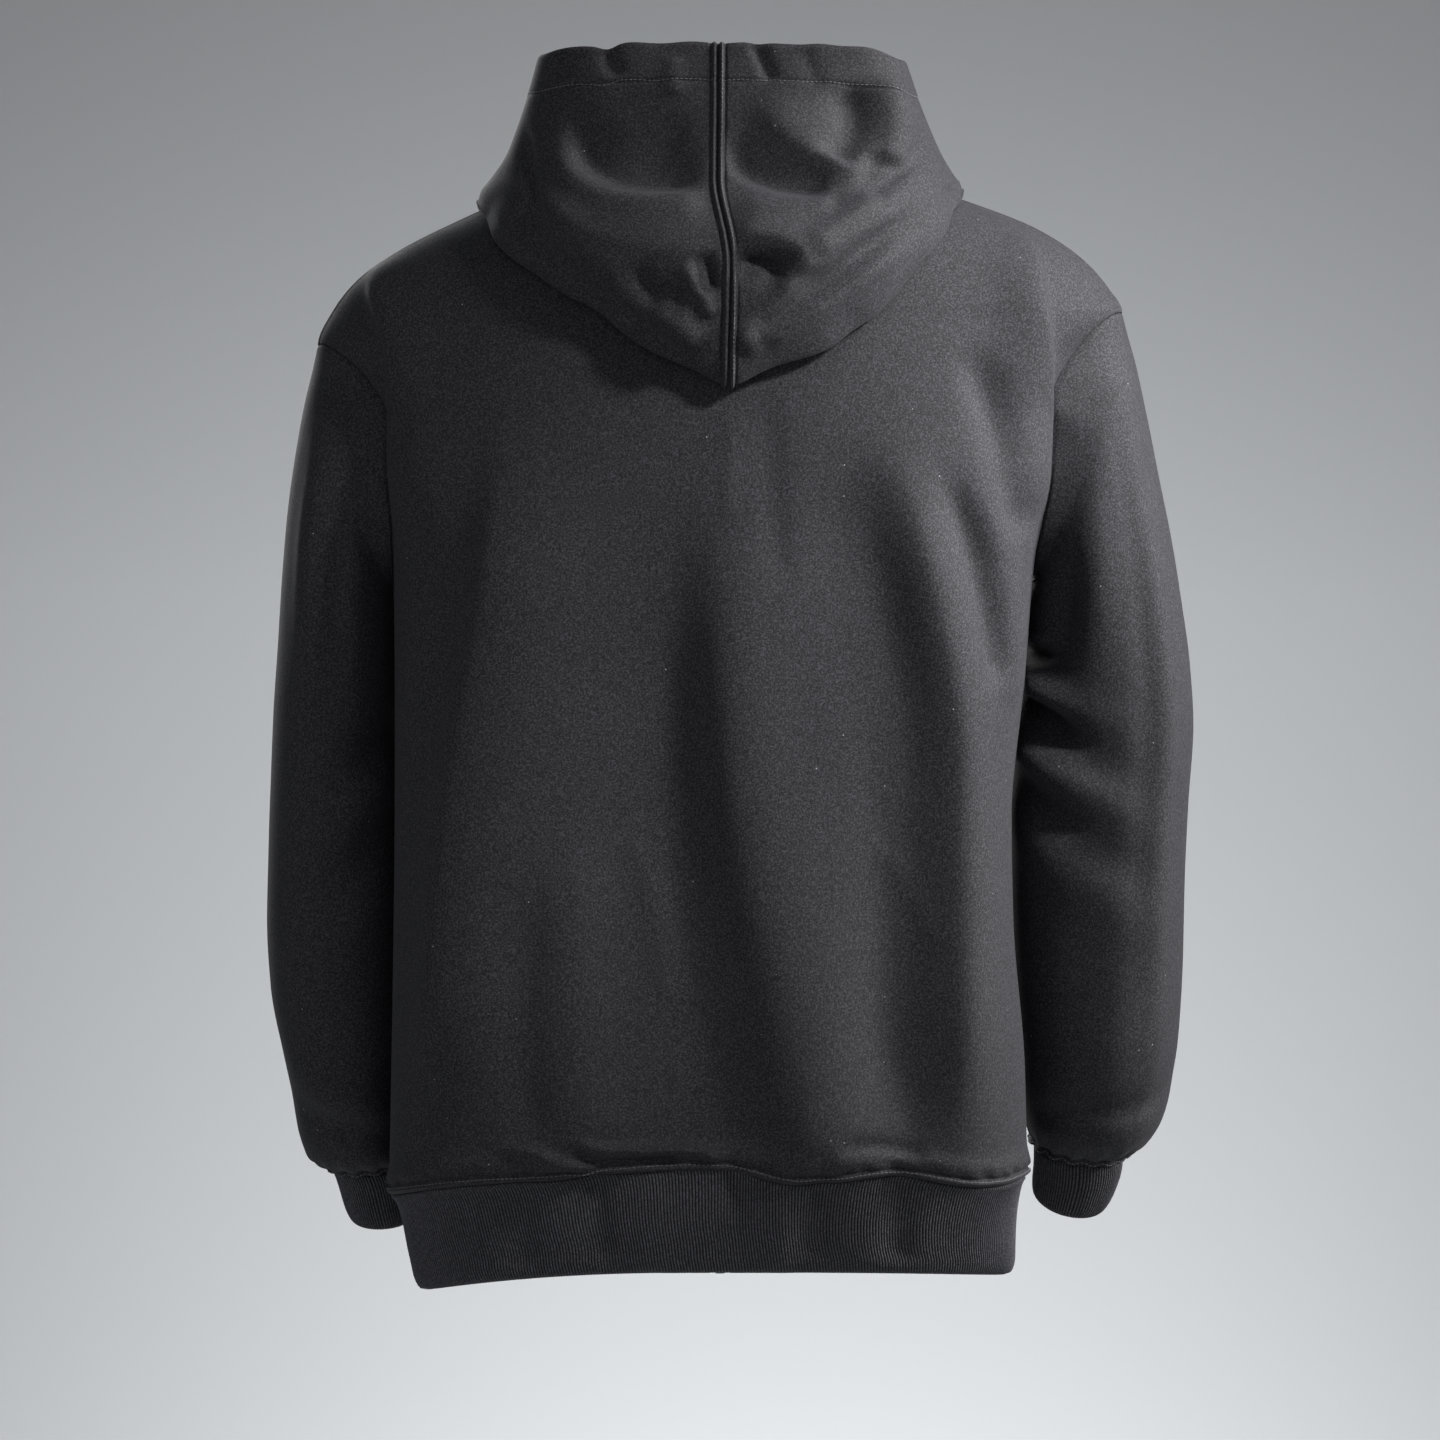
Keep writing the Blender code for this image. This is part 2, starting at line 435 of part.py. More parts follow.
def panel_edges(side_z, armhole=armhole_half):
    """Ring arcs, each piece's two edges and the centre front, as arcs at each side height."""
    arcs = ring_arcs(side_z)
    shift = seam_shift(side_z)
    back = armhole(side_z) * ARMHOLE_BACK + SEAM_GAP / 2
    front = armhole(side_z) * ARMHOLE_FRONT + SEAM_GAP / 2
    whole, right = arcs[:, -1], arcs[:, RIGHT_SIDE_AT]
    middle = arcs[:, CENTRE_FRONT_AT] - whole
    edges = {
        "back_panel": (shift + back, right - shift - back),
        "front_left": (middle + ZIP_OPENING, shift - front),
        "front_right": (right - shift + front - whole, middle - ZIP_OPENING),
        "hem_rib": (middle + ZIP_OPENING, middle + whole - ZIP_OPENING),
    }
    return arcs, edges, middle


def no_armhole(side_z):
    return np.zeros_like(side_z)


def piece_grid(side_z, piece, columns):
    """Outer points and normals of a trunk piece between its two edges. Its outermost columns
    follow the armhole's edge exactly, the next ones more softly, and the middle ones not at all."""
    arcs, edges, _ = panel_edges(side_z)
    share = np.linspace(0, 1, columns + 1)
    wanted = 0
    for (first, last), weight in (
        (panel_edges(side_z, no_armhole)[1][piece], lambda near: 1 - near),
        (panel_edges(side_z, armhole_bump)[1][piece], lambda near: near * (1 - near)),
        (edges[piece], lambda near: near * near),
    ):
        for edge, apart in ((first, share), (last, 1 - share)):
            near = np.clip(1 - apart / EDGE_SHARE[piece], 0, 1)
            wanted = wanted + edge[:, None] * (1 - apart) * weight(near)
    return trunk(side_z[:, None], angles_at(arcs, wanted))


def panel_rows():
    """Side heights of a panel's rows, closer together at the two ends of the armhole."""
    even = np.linspace(0, 1, BODY_STEPS + 1)[:-1]
    eased = (even + smooth_step(even)) / 2
    seam = HEM_SEAM + SEAM_GAP / 2
    below = seam + (UNDERARM - seam) * eased
    turn = np.cos(np.linspace(math.pi, 0, ARMHOLE_STEPS + 1))
    beside = (SHOULDER_TIP + UNDERARM) / 2 + (SHOULDER_TIP - UNDERARM) / 2 * turn
    above = np.linspace(SHOULDER_TIP, -SEAM_GAP / 2, YOKE_STEPS + 1)[1:]
    return np.concatenate([below, beside, above])[::-1]


# ---------------------------------------------------------------- meshes
def material(name):
    colour, roughness, metallic = FINISHES[name]
    made = bpy.data.materials.get(name) or bpy.data.materials.new(name)
    made.use_nodes = True
    shader = made.node_tree.nodes["Principled BSDF"]
    shader.inputs["Base Color"].default_value = colour
    shader.inputs["Roughness"].default_value = roughness
    shader.inputs["Metallic"].default_value = metallic
    return made


def add_object(name, mesh, finish):
    mesh.shade_smooth()
    mesh.set_sharp_from_angle(angle=SHARP_ANGLE)
    mesh.materials.append(material(finish))
    made = bpy.data.objects.new(name, mesh)
    bpy.context.scene.collection.objects.link(made)
    return made


def add_wall(name, outer, inner, finish, closed=False):
    """A closed wall between two grids, whose rows go down and whose columns turn from the left
    side to the back, so that the outer grid faces out. The outer grid may have several columns
    for each of the inner grid's, as where ribs are raised over a plain inside."""
    rows, many, few = outer.shape[0], outer.shape[1], inner.shape[1]
    segments = few if closed else few - 1
    each = many // few if closed else (many - 1) // segments

    def out(row, column):
        return row * many + column % many

    def within(row, column):
        return rows * many + row * few + column % few

    faces = []
    for row in range(rows - 1):
        for c in range(segments * each):
            faces.append((out(row, c), out(row + 1, c), out(row + 1, c + 1), out(row, c + 1)))
        for c in range(segments):
            faces.append((within(row, c), within(row, c + 1), within(row + 1, c + 1), within(row + 1, c)))
    for c in range(segments):
        top = [out(0, c * each + k) for k in range(each + 1)]
        faces.append((*top, within(0, c + 1), within(0, c)))
        bottom = [out(rows - 1, c * each + k) for k in range(each, -1, -1)]
        faces.append((*bottom, within(rows - 1, c), within(rows - 1, c + 1)))
    if not closed:
        last, far = many - 1, few - 1
        for row in range(rows - 1):
            faces.append((out(row, 0), within(row, 0), within(row + 1, 0), out(row + 1, 0)))
            faces.append((out(row, last), out(row + 1, last), within(row + 1, far), within(row, far)))
    mesh = bpy.data.meshes.new(name)
    mesh.from_pydata(np.concatenate([outer.reshape(-1, 3), inner.reshape(-1, 3)]).tolist(), [], faces)
    mesh.update()
    return add_object(name, mesh, finish)


# ---------------------------------------------------------------- trunk pieces
def ribbed(point, normal):
    """Outer points with every other column raised as a rib."""
    raised = point.copy()
    raised[:, 1::2] += normal[:, 1::2] * RIB_RELIEF
    return raised


def along_edge(edge, columns):
    """Evenly spaced points along an edge given as straight stretches."""
    lengths = np.linalg.norm(np.diff(edge, axis=0), axis=1)
    walked = np.concatenate([[0], np.cumsum(lengths)])
    wanted = np.linspace(0, walked[-1], columns + 1)
    return np.stack([np.interp(wanted, walked, edge[:, axis]) for axis in range(3)], -1)


def make_trunk():
    """The panels in the order of their angles, then the rib, whose top follows their edges."""
    side_z = panel_rows()
    outer_edges, inner_edges = [], []
    for name, columns in (
        ("front_left", FRONT_COLUMNS),
        ("back_panel", BACK_COLUMNS),
        ("front_right", FRONT_COLUMNS),
    ):
        outer, normal = piece_grid(side_z, name, columns)
        inner = outer - normal * CLOTH
        add_wall(name, outer, inner, "jersey")
        outer_edges.append(outer[-1])
        inner_edges.append(inner[-1])
    columns = 2 * HEM_RIBS
    outer, normal = piece_grid(np.array(HEM_ROWS), "hem_rib", columns)
    inner = (outer - normal * RIB_CLOTH)[:, ::4]
    outer[0] = along_edge(np.concatenate(outer_edges), columns)
    inner[0] = along_edge(np.concatenate(inner_edges), columns // 4)
    outer[0, :, 2] -= RIB_DROP
    inner[0, :, 2] -= RIB_DROP
    add_wall("hem_rib", ribbed(outer, normal), inner, "rib_knit")


# ---------------------------------------------------------------- sleeves and cuffs
def ring_angles(side, columns):
    """Angles round an arm from its outside, towards the back on the left side and towards the
    front on the right, so that both sleeves' grids face out."""
    return np.linspace(0, TURN, columns, endpoint=False) * side


def ring_points(rings, side, columns):
    """Closed rings from their table, on a rounded box between outer and inner end."""
    angle = ring_angles(side, columns)
    table = np.array(rings)[:, None, :]
    outer_x, outer_z, inner_x, inner_z, y_mid, half_depth, back_drop = np.moveaxis(table, -1, 0)
    cos, sin = np.cos(angle), np.sin(angle)
    across = 0.5 + 0.5 * np.sign(cos) * np.abs(cos) ** (2 / RING_SQUARE)
    x = (inner_x + (outer_x - inner_x) * across) * side
    y = y_mid + half_depth * np.sign(sin) * np.abs(sin) ** (2 / RING_SQUARE)
    z = inner_z + (outer_z - inner_z) * across - back_drop * np.maximum(sin, 0)
    return np.stack([x, y, z], -1)


def armhole_ring(side):
    """The sleeve's first ring, just inside the armhole, and the trunk's normals there."""
    angle = ring_angles(side, 2 * ARMHOLE_STEPS)
    middle, half = (SHOULDER_TIP + UNDERARM) / 2, (SHOULDER_TIP - UNDERARM) / 2 - SEAM_GAP
    side_z = middle + half * np.cos(angle)
    width = np.where(np.sin(angle) >= 0, ARMHOLE_BACK, ARMHOLE_FRONT) - SEAM_GAP / 2
    arcs = ring_arcs(side_z)
    offset = seam_shift(side_z) + width * np.sin(angle)
    wanted = offset if side == LEFT else arcs[:, RIGHT_SIDE_AT] - offset
    return trunk(side_z, angles_at(arcs, wanted[:, None])[:, 0])


def clear_of_trunk(point, clearance):
    """Moves points out along the trunk's normals, to at least this clearance from its side."""
    heights = np.linspace(HEM_END, SHOULDER_TIP, SIDE_SAMPLES)
    side_z, angle = np.meshgrid(heights, np.linspace(-SIDE_TURN, SIDE_TURN, SIDE_SAMPLES))
    skin, normal = trunk(side_z, angle if point[..., 0].mean() > 0 else angle + math.pi)
    skin, normal = skin.reshape(-1, 3), normal.reshape(-1, 3)
    moved = point.reshape(-1, 3).copy()
    wanted = np.broadcast_to(clearance, point.shape[:-1]).reshape(-1)
    for _ in range(2):
        gaps = np.linalg.norm(moved[:, None, :] - skin[None, :, :], axis=2)
        nearest = gaps.argmin(axis=1)
        height = ((moved - skin[nearest]) * normal[nearest]).sum(axis=1)
        moved += normal[nearest] * np.clip(wanted - height, 0, None)[:, None]
    return moved.reshape(point.shape)


def sleeve_folds(side, at, columns):
    """Height of the folds on a sleeve's grid, fading out at the armhole."""
    degrees = np.degrees(ring_angles(side, columns))
    total = np.zeros((len(at), columns))
    for fold in SLEEVE_FOLDS:
        if fold.side != side:
            continue
        turn = (degrees - fold.angle + 180) % 360 - 180
        along = at[:, None] - fold.ring - fold.slope * turn
        total += fold.height * np.exp(-((along / fold.rings) ** 2) - (turn / fold.degrees) ** 2)
    return total * smooth_step(at / 2)[:, None]


def make_sleeve(name, side):
    columns = 2 * ARMHOLE_STEPS
    first, trunk_normal = armhole_ring(side)
    knots = np.concatenate([first[None], ring_points(SLEEVES[side], side, columns)])
    at = np.linspace(0, len(knots) - 1, SLEEVE_STEPS + 1)
    point = smooth_through(at, range(len(knots)), knots).reshape(len(at), columns, 3)
    normal = grid_normals(point, closed=True)
    normal[0] = trunk_normal
    point = point + normal * sleeve_folds(side, at, columns)[..., None]
    point[1:] = clear_of_trunk(point[1:], SLEEVE_CLEARANCE)
    normal[1:] = grid_normals(point, closed=True)[1:]
    add_wall(name, point, point - normal * CLOTH, "jersey", closed=True)


def make_cuff(name, side):
    point = clear_of_trunk(ring_points(CUFFS[side], side, 2 * CUFF_RIBS), SLEEVE_CLEARANCE)
    normal = grid_normals(point, closed=True)
    inner = (point - normal * RIB_CLOTH)[:, ::2]
    add_wall(name, ribbed(point, normal), inner, "rib_knit", closed=True)


# ---------------------------------------------------------------- hood
def hood_knots(angle):
    """The hood's profile at each loop angle: outer layer, bulge, edge, then under layer."""
    from_side = np.degrees(np.arcsin(np.sin(angle)))
    table = smooth_through(from_side, [line[0] for line in HOOD_FOLD], [line[1:] for line in HOOD_FOLD])
    trunk_degrees, side_z, edge_out, bulge_out = np.moveaxis(table, -1, 0)
    on_left = np.radians(trunk_degrees)
    trunk_angle = np.where(np.cos(angle) >= 0, on_left, math.pi - on_left)

    def off_trunk(share, out):
        """Points off the trunk, a share of the way from the neckline down to the fold."""
        point, normal = trunk(side_z * share, trunk_angle)
        return point + normal * np.asarray(out)[..., None]

    knots = [loop_point(loop, angle, BEND_BACK, BEND_FRONT) for loop in HOOD_LOOPS]
    knots.append(off_trunk(BULGE_AT, bulge_out))
    knots.append(off_trunk(1.0, edge_out))
    for layer in UNDER_LAYER:
        knots.append(off_trunk(layer.share, layer.clearance))
    neck, normal = trunk(np.full_like(side_z, -SEAM_GAP), trunk_angle)
    knots.append(neck + normal * NECK_CLEARANCE)
    return np.array(knots)


def make_hood():
    """Both hood panels from one grid, so that their faces agree at the centre seam."""
    angle = np.linspace(-HOOD_FRONT, math.pi + HOOD_FRONT, HOOD_COLUMNS + 1)
    knots = hood_knots(angle)
    near_seam = np.exp(-(((angle - math.pi / 2) / SEAM_SPREAD) ** 2))
    knots[..., 0] += np.array(SEAM_DRIFT)[:, None] * near_seam
    point = smooth_through(HOOD_ROWS, range(len(knots)), knots).reshape(len(HOOD_ROWS), len(angle), 3)
    thick = np.where(np.arange(len(HOOD_ROWS)) < TURNED_ROWS, HOOD_HEM, CLOTH)[:, None, None]
    within = point - grid_normals(point, closed=False) * thick
    middle = HOOD_COLUMNS // 2
    for name, columns, seam_column, shift in (
        ("hood_left", slice(0, middle + 1), -1, SEAM_GAP / 2),
        ("hood_right", slice(middle, None), 0, -SEAM_GAP / 2),
    ):
        outer, inner = point[:, columns].copy(), within[:, columns].copy()
        outer[:, seam_column, 0] += shift
        inner[:, seam_column, 0] += shift
        add_wall(name, outer, inner, "jersey")


# ---------------------------------------------------------------- zip
def zip_strip(name, arc_ends, z_ends, depths, finish):
    """A strip along the centre front: arcs from it, side heights, and depths front and back.
    It bends at the same rows as the fronts and the rib, so that it stays clear of them."""
    rows = np.concatenate([panel_rows(), HEM_ROWS])
    rows = rows[(rows < z_ends[0] - ROW_APART) & (rows > z_ends[1] + ROW_APART)]
    side_z = np.concatenate([z_ends[:1], rows, z_ends[1:]])
    arcs, _, middle = panel_edges(side_z)
    point, normal = trunk(side_z[:, None], angles_at(arcs, middle[:, None] + np.array(arc_ends)))
    add_wall(name, point + normal * depths[0], point + normal * depths[1], finish)


def zip_frame(side_z):
    """A frame on the centre front: across to the wearer's left, up along the cloth, and out."""
    point, normal = trunk(np.array([side_z]), np.array([CENTRE_FRONT]))
    out = Vector((0, *normal[0][1:])).normalized()
    across = Vector((1, 0, 0))
    frame = Matrix((across, out.cross(across), out)).transposed().to_4x4()
    frame.translation = Vector((0, *point[0][1:]))
    return frame


def prism(name, frame, outline, ends, along):
    """A closed prism in a frame: its outline lies across the axis `along` (0 across, 2 out),
    and it reaches between the two ends on that axis."""
    shape = bmesh.new()
    rings = []
    for level in ends:
        places = [(a, b, level) if along == 2 else (level, a, b) for a, b in outline]
        rings.append([shape.verts.new(frame @ Vector(place)) for place in places])
    shape.faces.new(rings[0])
    shape.faces.new(rings[1])
    for k in range(len(outline)):
        shape.faces.new((rings[0][k - 1], rings[0][k], rings[1][k], rings[1][k - 1]))
    bmesh.ops.recalc_face_normals(shape, faces=shape.faces)
    mesh = bpy.data.meshes.new(name)
    shape.to_mesh(mesh)
    shape.free()
    return add_object(name, mesh, "zip_metal")


def combine(base, others, operation):
    """Joins others to base, or cuts them from it. They stay in the file as hidden helpers."""
    for other in others:
        other.hide_render = True
        other.display_type = "WIRE"
        modifier = base.modifiers.new(other.name, "BOOLEAN")
        modifier.operation = operation
        modifier.object = other


def rectangle(half, low, high):
    return [(-half, low), (half, low), (half, high), (-half, high)]


def make_slider(frame):
    """Front plate, back plate, the post that parts the teeth above the chain's end, and crown."""
    half, nose, length = SLIDER_WIDTH / 2, SLIDER_NOSE / 2, SLIDER_LENGTH / 2
    plan = [(-half, length), (half, length), (half, 0), (nose, -length), (-nose, -length), (-half, 0)]
    front, back = CHAIN_FRONT + SLIDER_CLEAR, CHAIN_BACK - SLIDER_CLEAR
    slider = prism("zip_slider", frame, plan, (front, front + PLATE), 2)
    rear = prism("slider_rear", frame, plan, (back - PLATE, back), 2)
    post_ends = back - PLATE / 2, front + PLATE / 2
    post = prism("slider_post", frame, rectangle(POST_HALF, SEAM_GAP, POST_TOP), post_ends, 2)
    reach, foot, top = CROWN_LENGTH / 2, front + PLATE / 2, front + PLATE + CROWN_HEIGHT
    shoulder, inside, under = CROWN_WALL, reach - CROWN_WALL, top - CROWN_WALL
    arch = [
        (-reach, foot),
        (-reach, top - shoulder),
        (-reach + shoulder, top),
        (reach - shoulder, top),
        (reach, top - shoulder),
        (reach, foot),
        (inside, foot),
        (inside, under),
        (-inside, under),
        (-inside, foot),
    ]
    crown = prism("slider_crown", frame, arch, (-CROWN_WIDTH / 2, CROWN_WIDTH / 2), 0)
    combine(slider, [rear, post, crown], "UNION")


def make_pull(frame):
    """A flat tab that hangs from its cross bar, with a window round the slider's crown."""
    axis = CHAIN_FRONT + SLIDER_CLEAR + PLATE + PULL_RISE
    half, bar = PULL_WIDTH / 2, PULL_THICK / 2
    waist = [(half * width, -PULL_LENGTH * length) for width, length in PULL_OUTLINE]
    right_side = [(half, bar), *waist]
    plan = right_side + [(-across, up) for across, up in reversed(right_side)]
    pull = prism("zip_pull", frame, plan, (axis - bar, axis + bar), 2)
    window = rectangle(PULL_WINDOW / 2, -WINDOW_END, -bar)
    cutter = prism("pull_window", frame, window, (axis - PULL_THICK, axis + PULL_THICK), 2)
    combine(pull, [cutter], "DIFFERENCE")


def make_zip():
    for name, side in (("zip_tape_left", LEFT), ("zip_tape_right", RIGHT)):
        ends = sorted((side * TAPE_EDGE, side * (TAPE_EDGE + TAPE_WIDTH)))
        depths = -TAPE_DEPTH, -TAPE_DEPTH - TAPE_THICK
        zip_strip(name, ends, (-SEAM_GAP, HEM_END), depths, "zip_tape")
    chain_across = -CHAIN_HALF, CHAIN_HALF
    box_top = HEM_END + BOX_LENGTH
    chain_ends = SLIDER_AT - SEAM_GAP, box_top + SEAM_GAP
    zip_strip("zip_chain", chain_across, chain_ends, (CHAIN_FRONT, CHAIN_BACK), "zip_metal")
    box_depths = BOX_PROUD, CHAIN_BACK - BOX_PROUD
    zip_strip("zip_box", chain_across, (box_top, HEM_END), box_depths, "zip_metal")
    frame = zip_frame(SLIDER_AT)
    make_slider(frame)
    make_pull(frame)


def main():
    for old in list(bpy.data.objects):
        bpy.data.objects.remove(old)
    make_trunk()
    for word, side in (("left", LEFT), ("right", RIGHT)):
        make_sleeve(f"sleeve_{word}", side)
        make_cuff(f"cuff_{word}", side)
    make_hood()
    make_zip()


main()
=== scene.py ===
"""Looks of the zip-up hoodie: fine cloth shells, seams, stitching, knitted ribs, zip and finishes.

Metres, in the solids' own frame: +Z up, front towards -Y, the wearer's left towards +X. Every
cloth piece is a shell on the surface of its solid, drawn finer and with the creases of worn
cloth. The tables of the trunk, the sleeves and the hood are those that the solids are cut from.
"""

import math
from collections import namedtuple

import bmesh
import bpy
import numpy as np
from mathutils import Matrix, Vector


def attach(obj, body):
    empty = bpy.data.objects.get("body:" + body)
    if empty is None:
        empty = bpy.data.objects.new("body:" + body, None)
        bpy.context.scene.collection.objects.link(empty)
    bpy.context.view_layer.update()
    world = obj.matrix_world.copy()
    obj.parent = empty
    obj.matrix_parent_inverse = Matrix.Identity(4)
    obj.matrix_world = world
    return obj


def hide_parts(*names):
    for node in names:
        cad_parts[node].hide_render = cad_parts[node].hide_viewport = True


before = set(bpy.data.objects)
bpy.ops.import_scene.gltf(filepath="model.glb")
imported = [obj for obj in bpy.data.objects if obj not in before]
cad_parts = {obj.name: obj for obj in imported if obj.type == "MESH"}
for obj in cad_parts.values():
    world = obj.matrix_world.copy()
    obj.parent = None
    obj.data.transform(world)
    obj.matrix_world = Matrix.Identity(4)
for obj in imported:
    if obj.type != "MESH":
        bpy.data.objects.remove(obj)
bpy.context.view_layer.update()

# ---------------------------------------------------------------- driving sizes, in metres
CLOTH = 0.0022
HOOD_HEM = 0.0036
RIB_CLOTH = 0.0026
SEAM_GAP = 0.0001
SLEEVE_CLEARANCE = 0.0022
SHOULDER_TIP = -0.1015
UNDERARM = -0.270
HEM_SEAM = -0.6775
HEM_END = -0.743
ARMHOLE_BACK = 0.062
ARMHOLE_FRONT = 0.063
ARMHOLE_SPREAD = 0.07
ZIP_OPENING = 0.007
HOOD_FRONT = math.radians(82.5)
RIB_DROP = 0.0005
EDGE_SHARE = {"back_panel": 0.28, "front_left": 0.6, "front_right": 0.6, "hem_rib": 0.5}

LEFT, RIGHT = 1, -1
TURN = 2 * math.pi
CENTRE_FRONT = 1.5 * math.pi
RING_ANGLES = np.linspace(0, TURN, 721)
RIGHT_SIDE_AT, CENTRE_FRONT_AT = 360, 540

# ---------------------------------------------------------------- the trunk's tables
Loop = namedtuple(
    "Loop",
    "side_z z_left z_right z_back z_front x_left x_right y_side y_back y_front square_back square_front",
)
BODY_LOOPS = [
    Loop(-0.7430, -0.7490, -0.7375, -0.7340, -0.7420, 0.2040, 0.1985, 0.000, 0.105, -0.112, 2.5, 2.5),
    Loop(-0.7150, -0.7210, -0.7090, -0.7055, -0.7140, 0.2100, 0.1990, 0.002, 0.110, -0.119, 2.5, 2.5),
    Loop(-0.6820, -0.6880, -0.6755, -0.6715, -0.6795, 0.2180, 0.2035, 0.005, 0.115, -0.127, 2.6, 2.6),
    Loop(-0.6775, -0.6840, -0.6710, -0.6670, -0.6750, 0.2222, 0.2066, 0.006, 0.118, -0.131, 2.6, 2.6),
    Loop(-0.6600, -0.6655, -0.6545, -0.6505, -0.6580, 0.2220, 0.2062, 0.008, 0.121, -0.136, 2.7, 2.6),
    Loop(-0.6000, -0.6040, -0.5960, -0.5930, -0.6000, 0.2208, 0.2046, 0.014, 0.120, -0.140, 2.8, 2.6),
    Loop(-0.5000, -0.5020, -0.4980, -0.4970, -0.5000, 0.2190, 0.1968, 0.022, 0.121, -0.143, 2.8, 2.6),
    Loop(-0.4300, -0.4310, -0.4290, -0.4280, -0.4310, 0.2182, 0.1955, 0.026, 0.124, -0.144, 2.8, 2.6),
    Loop(-0.3500, -0.3520, -0.3480, -0.3490, -0.3530, 0.2180, 0.2030, 0.030, 0.129, -0.143, 2.8, 2.6),
    Loop(-0.2700, -0.2750, -0.2650, -0.2690, -0.2780, 0.2185, 0.2100, 0.033, 0.133, -0.140, 2.8, 2.5),
    Loop(-0.2200, -0.2260, -0.2140, -0.2170, -0.2350, 0.2188, 0.2155, 0.034, 0.132, -0.135, 2.8, 2.4),
    Loop(-0.1700, -0.1770, -0.1630, -0.1640, -0.1930, 0.2205, 0.2200, 0.030, 0.127, -0.127, 2.6, 2.3),
    Loop(-0.1300, -0.1390, -0.1210, -0.1210, -0.1610, 0.2440, 0.2440, 0.015, 0.119, -0.119, 2.3, 2.1),
    Loop(-0.1015, -0.1124, -0.0909, -0.0920, -0.1410, 0.2705, 0.2705, 0.003, 0.112, -0.112, 2.0, 2.0),
    Loop(-0.0815, -0.0890, -0.0740, -0.0770, -0.1310, 0.2600, 0.2610, 0.001, 0.107, -0.108, 2.0, 2.0),
    Loop(-0.0620, -0.0690, -0.0550, -0.0640, -0.1220, 0.2440, 0.2440, 0.000, 0.102, -0.104, 2.0, 2.0),
    Loop(-0.0420, -0.0487, -0.0355, -0.0510, -0.1140, 0.2150, 0.2150, 0.000, 0.096, -0.100, 2.0, 2.0),
    Loop(-0.0240, -0.0286, -0.0195, -0.0390, -0.1070, 0.1750, 0.1760, 0.000, 0.090, -0.095, 2.0, 2.0),
    Loop(-0.0093, -0.0115, -0.0070, -0.0290, -0.1010, 0.1350, 0.1350, 0.000, 0.084, -0.090, 2.0, 2.0),
    Loop(0.0000, 0.0000, 0.0000, -0.0200, -0.0950, 0.0950, 0.0950, 0.000, 0.078, -0.085, 2.0, 2.0),
]
SeamShift = namedtuple("SeamShift", "side_z shift")
SEAM_SHIFTS = [
    SeamShift(-0.7430, -0.030),
    SeamShift(-0.2700, -0.034),
    SeamShift(-0.1900, -0.038),
    SeamShift(-0.1300, -0.012),
    SeamShift(-0.1015, 0.010),
    SeamShift(0.0000, 0.012),
]
Dip = namedtuple("Dip", "x depth width")
HEM_DIPS = [
    Dip(-0.054, 0.0060, 0.042),
    Dip(-0.172, 0.0075, 0.040),
    Dip(0.118, 0.0025, 0.040),
]
DIP_REACH, DIP_FADE, DIP_FROM = 0.045, 0.05, 0.02
SMALL_RISE, SMALL_TURN = 0.0006, 0.012

# A drape is a soft ridge of the cloth, or a trough where its height is negative, along a smooth
# line through points (x, z) seen from behind or in front. Its two flanks have their own widths:
# `left` on the wearer's left and `right` on the right. One of the "edge" goes on round the side.
# The tables of drapes are in millimetres.
Drape = namedtuple("Drape", "side line left right height")


def from_millimetres(drapes):
    return [Drape(row.side, *(np.array(size) / 1000 for size in row[1:])) for row in drapes]


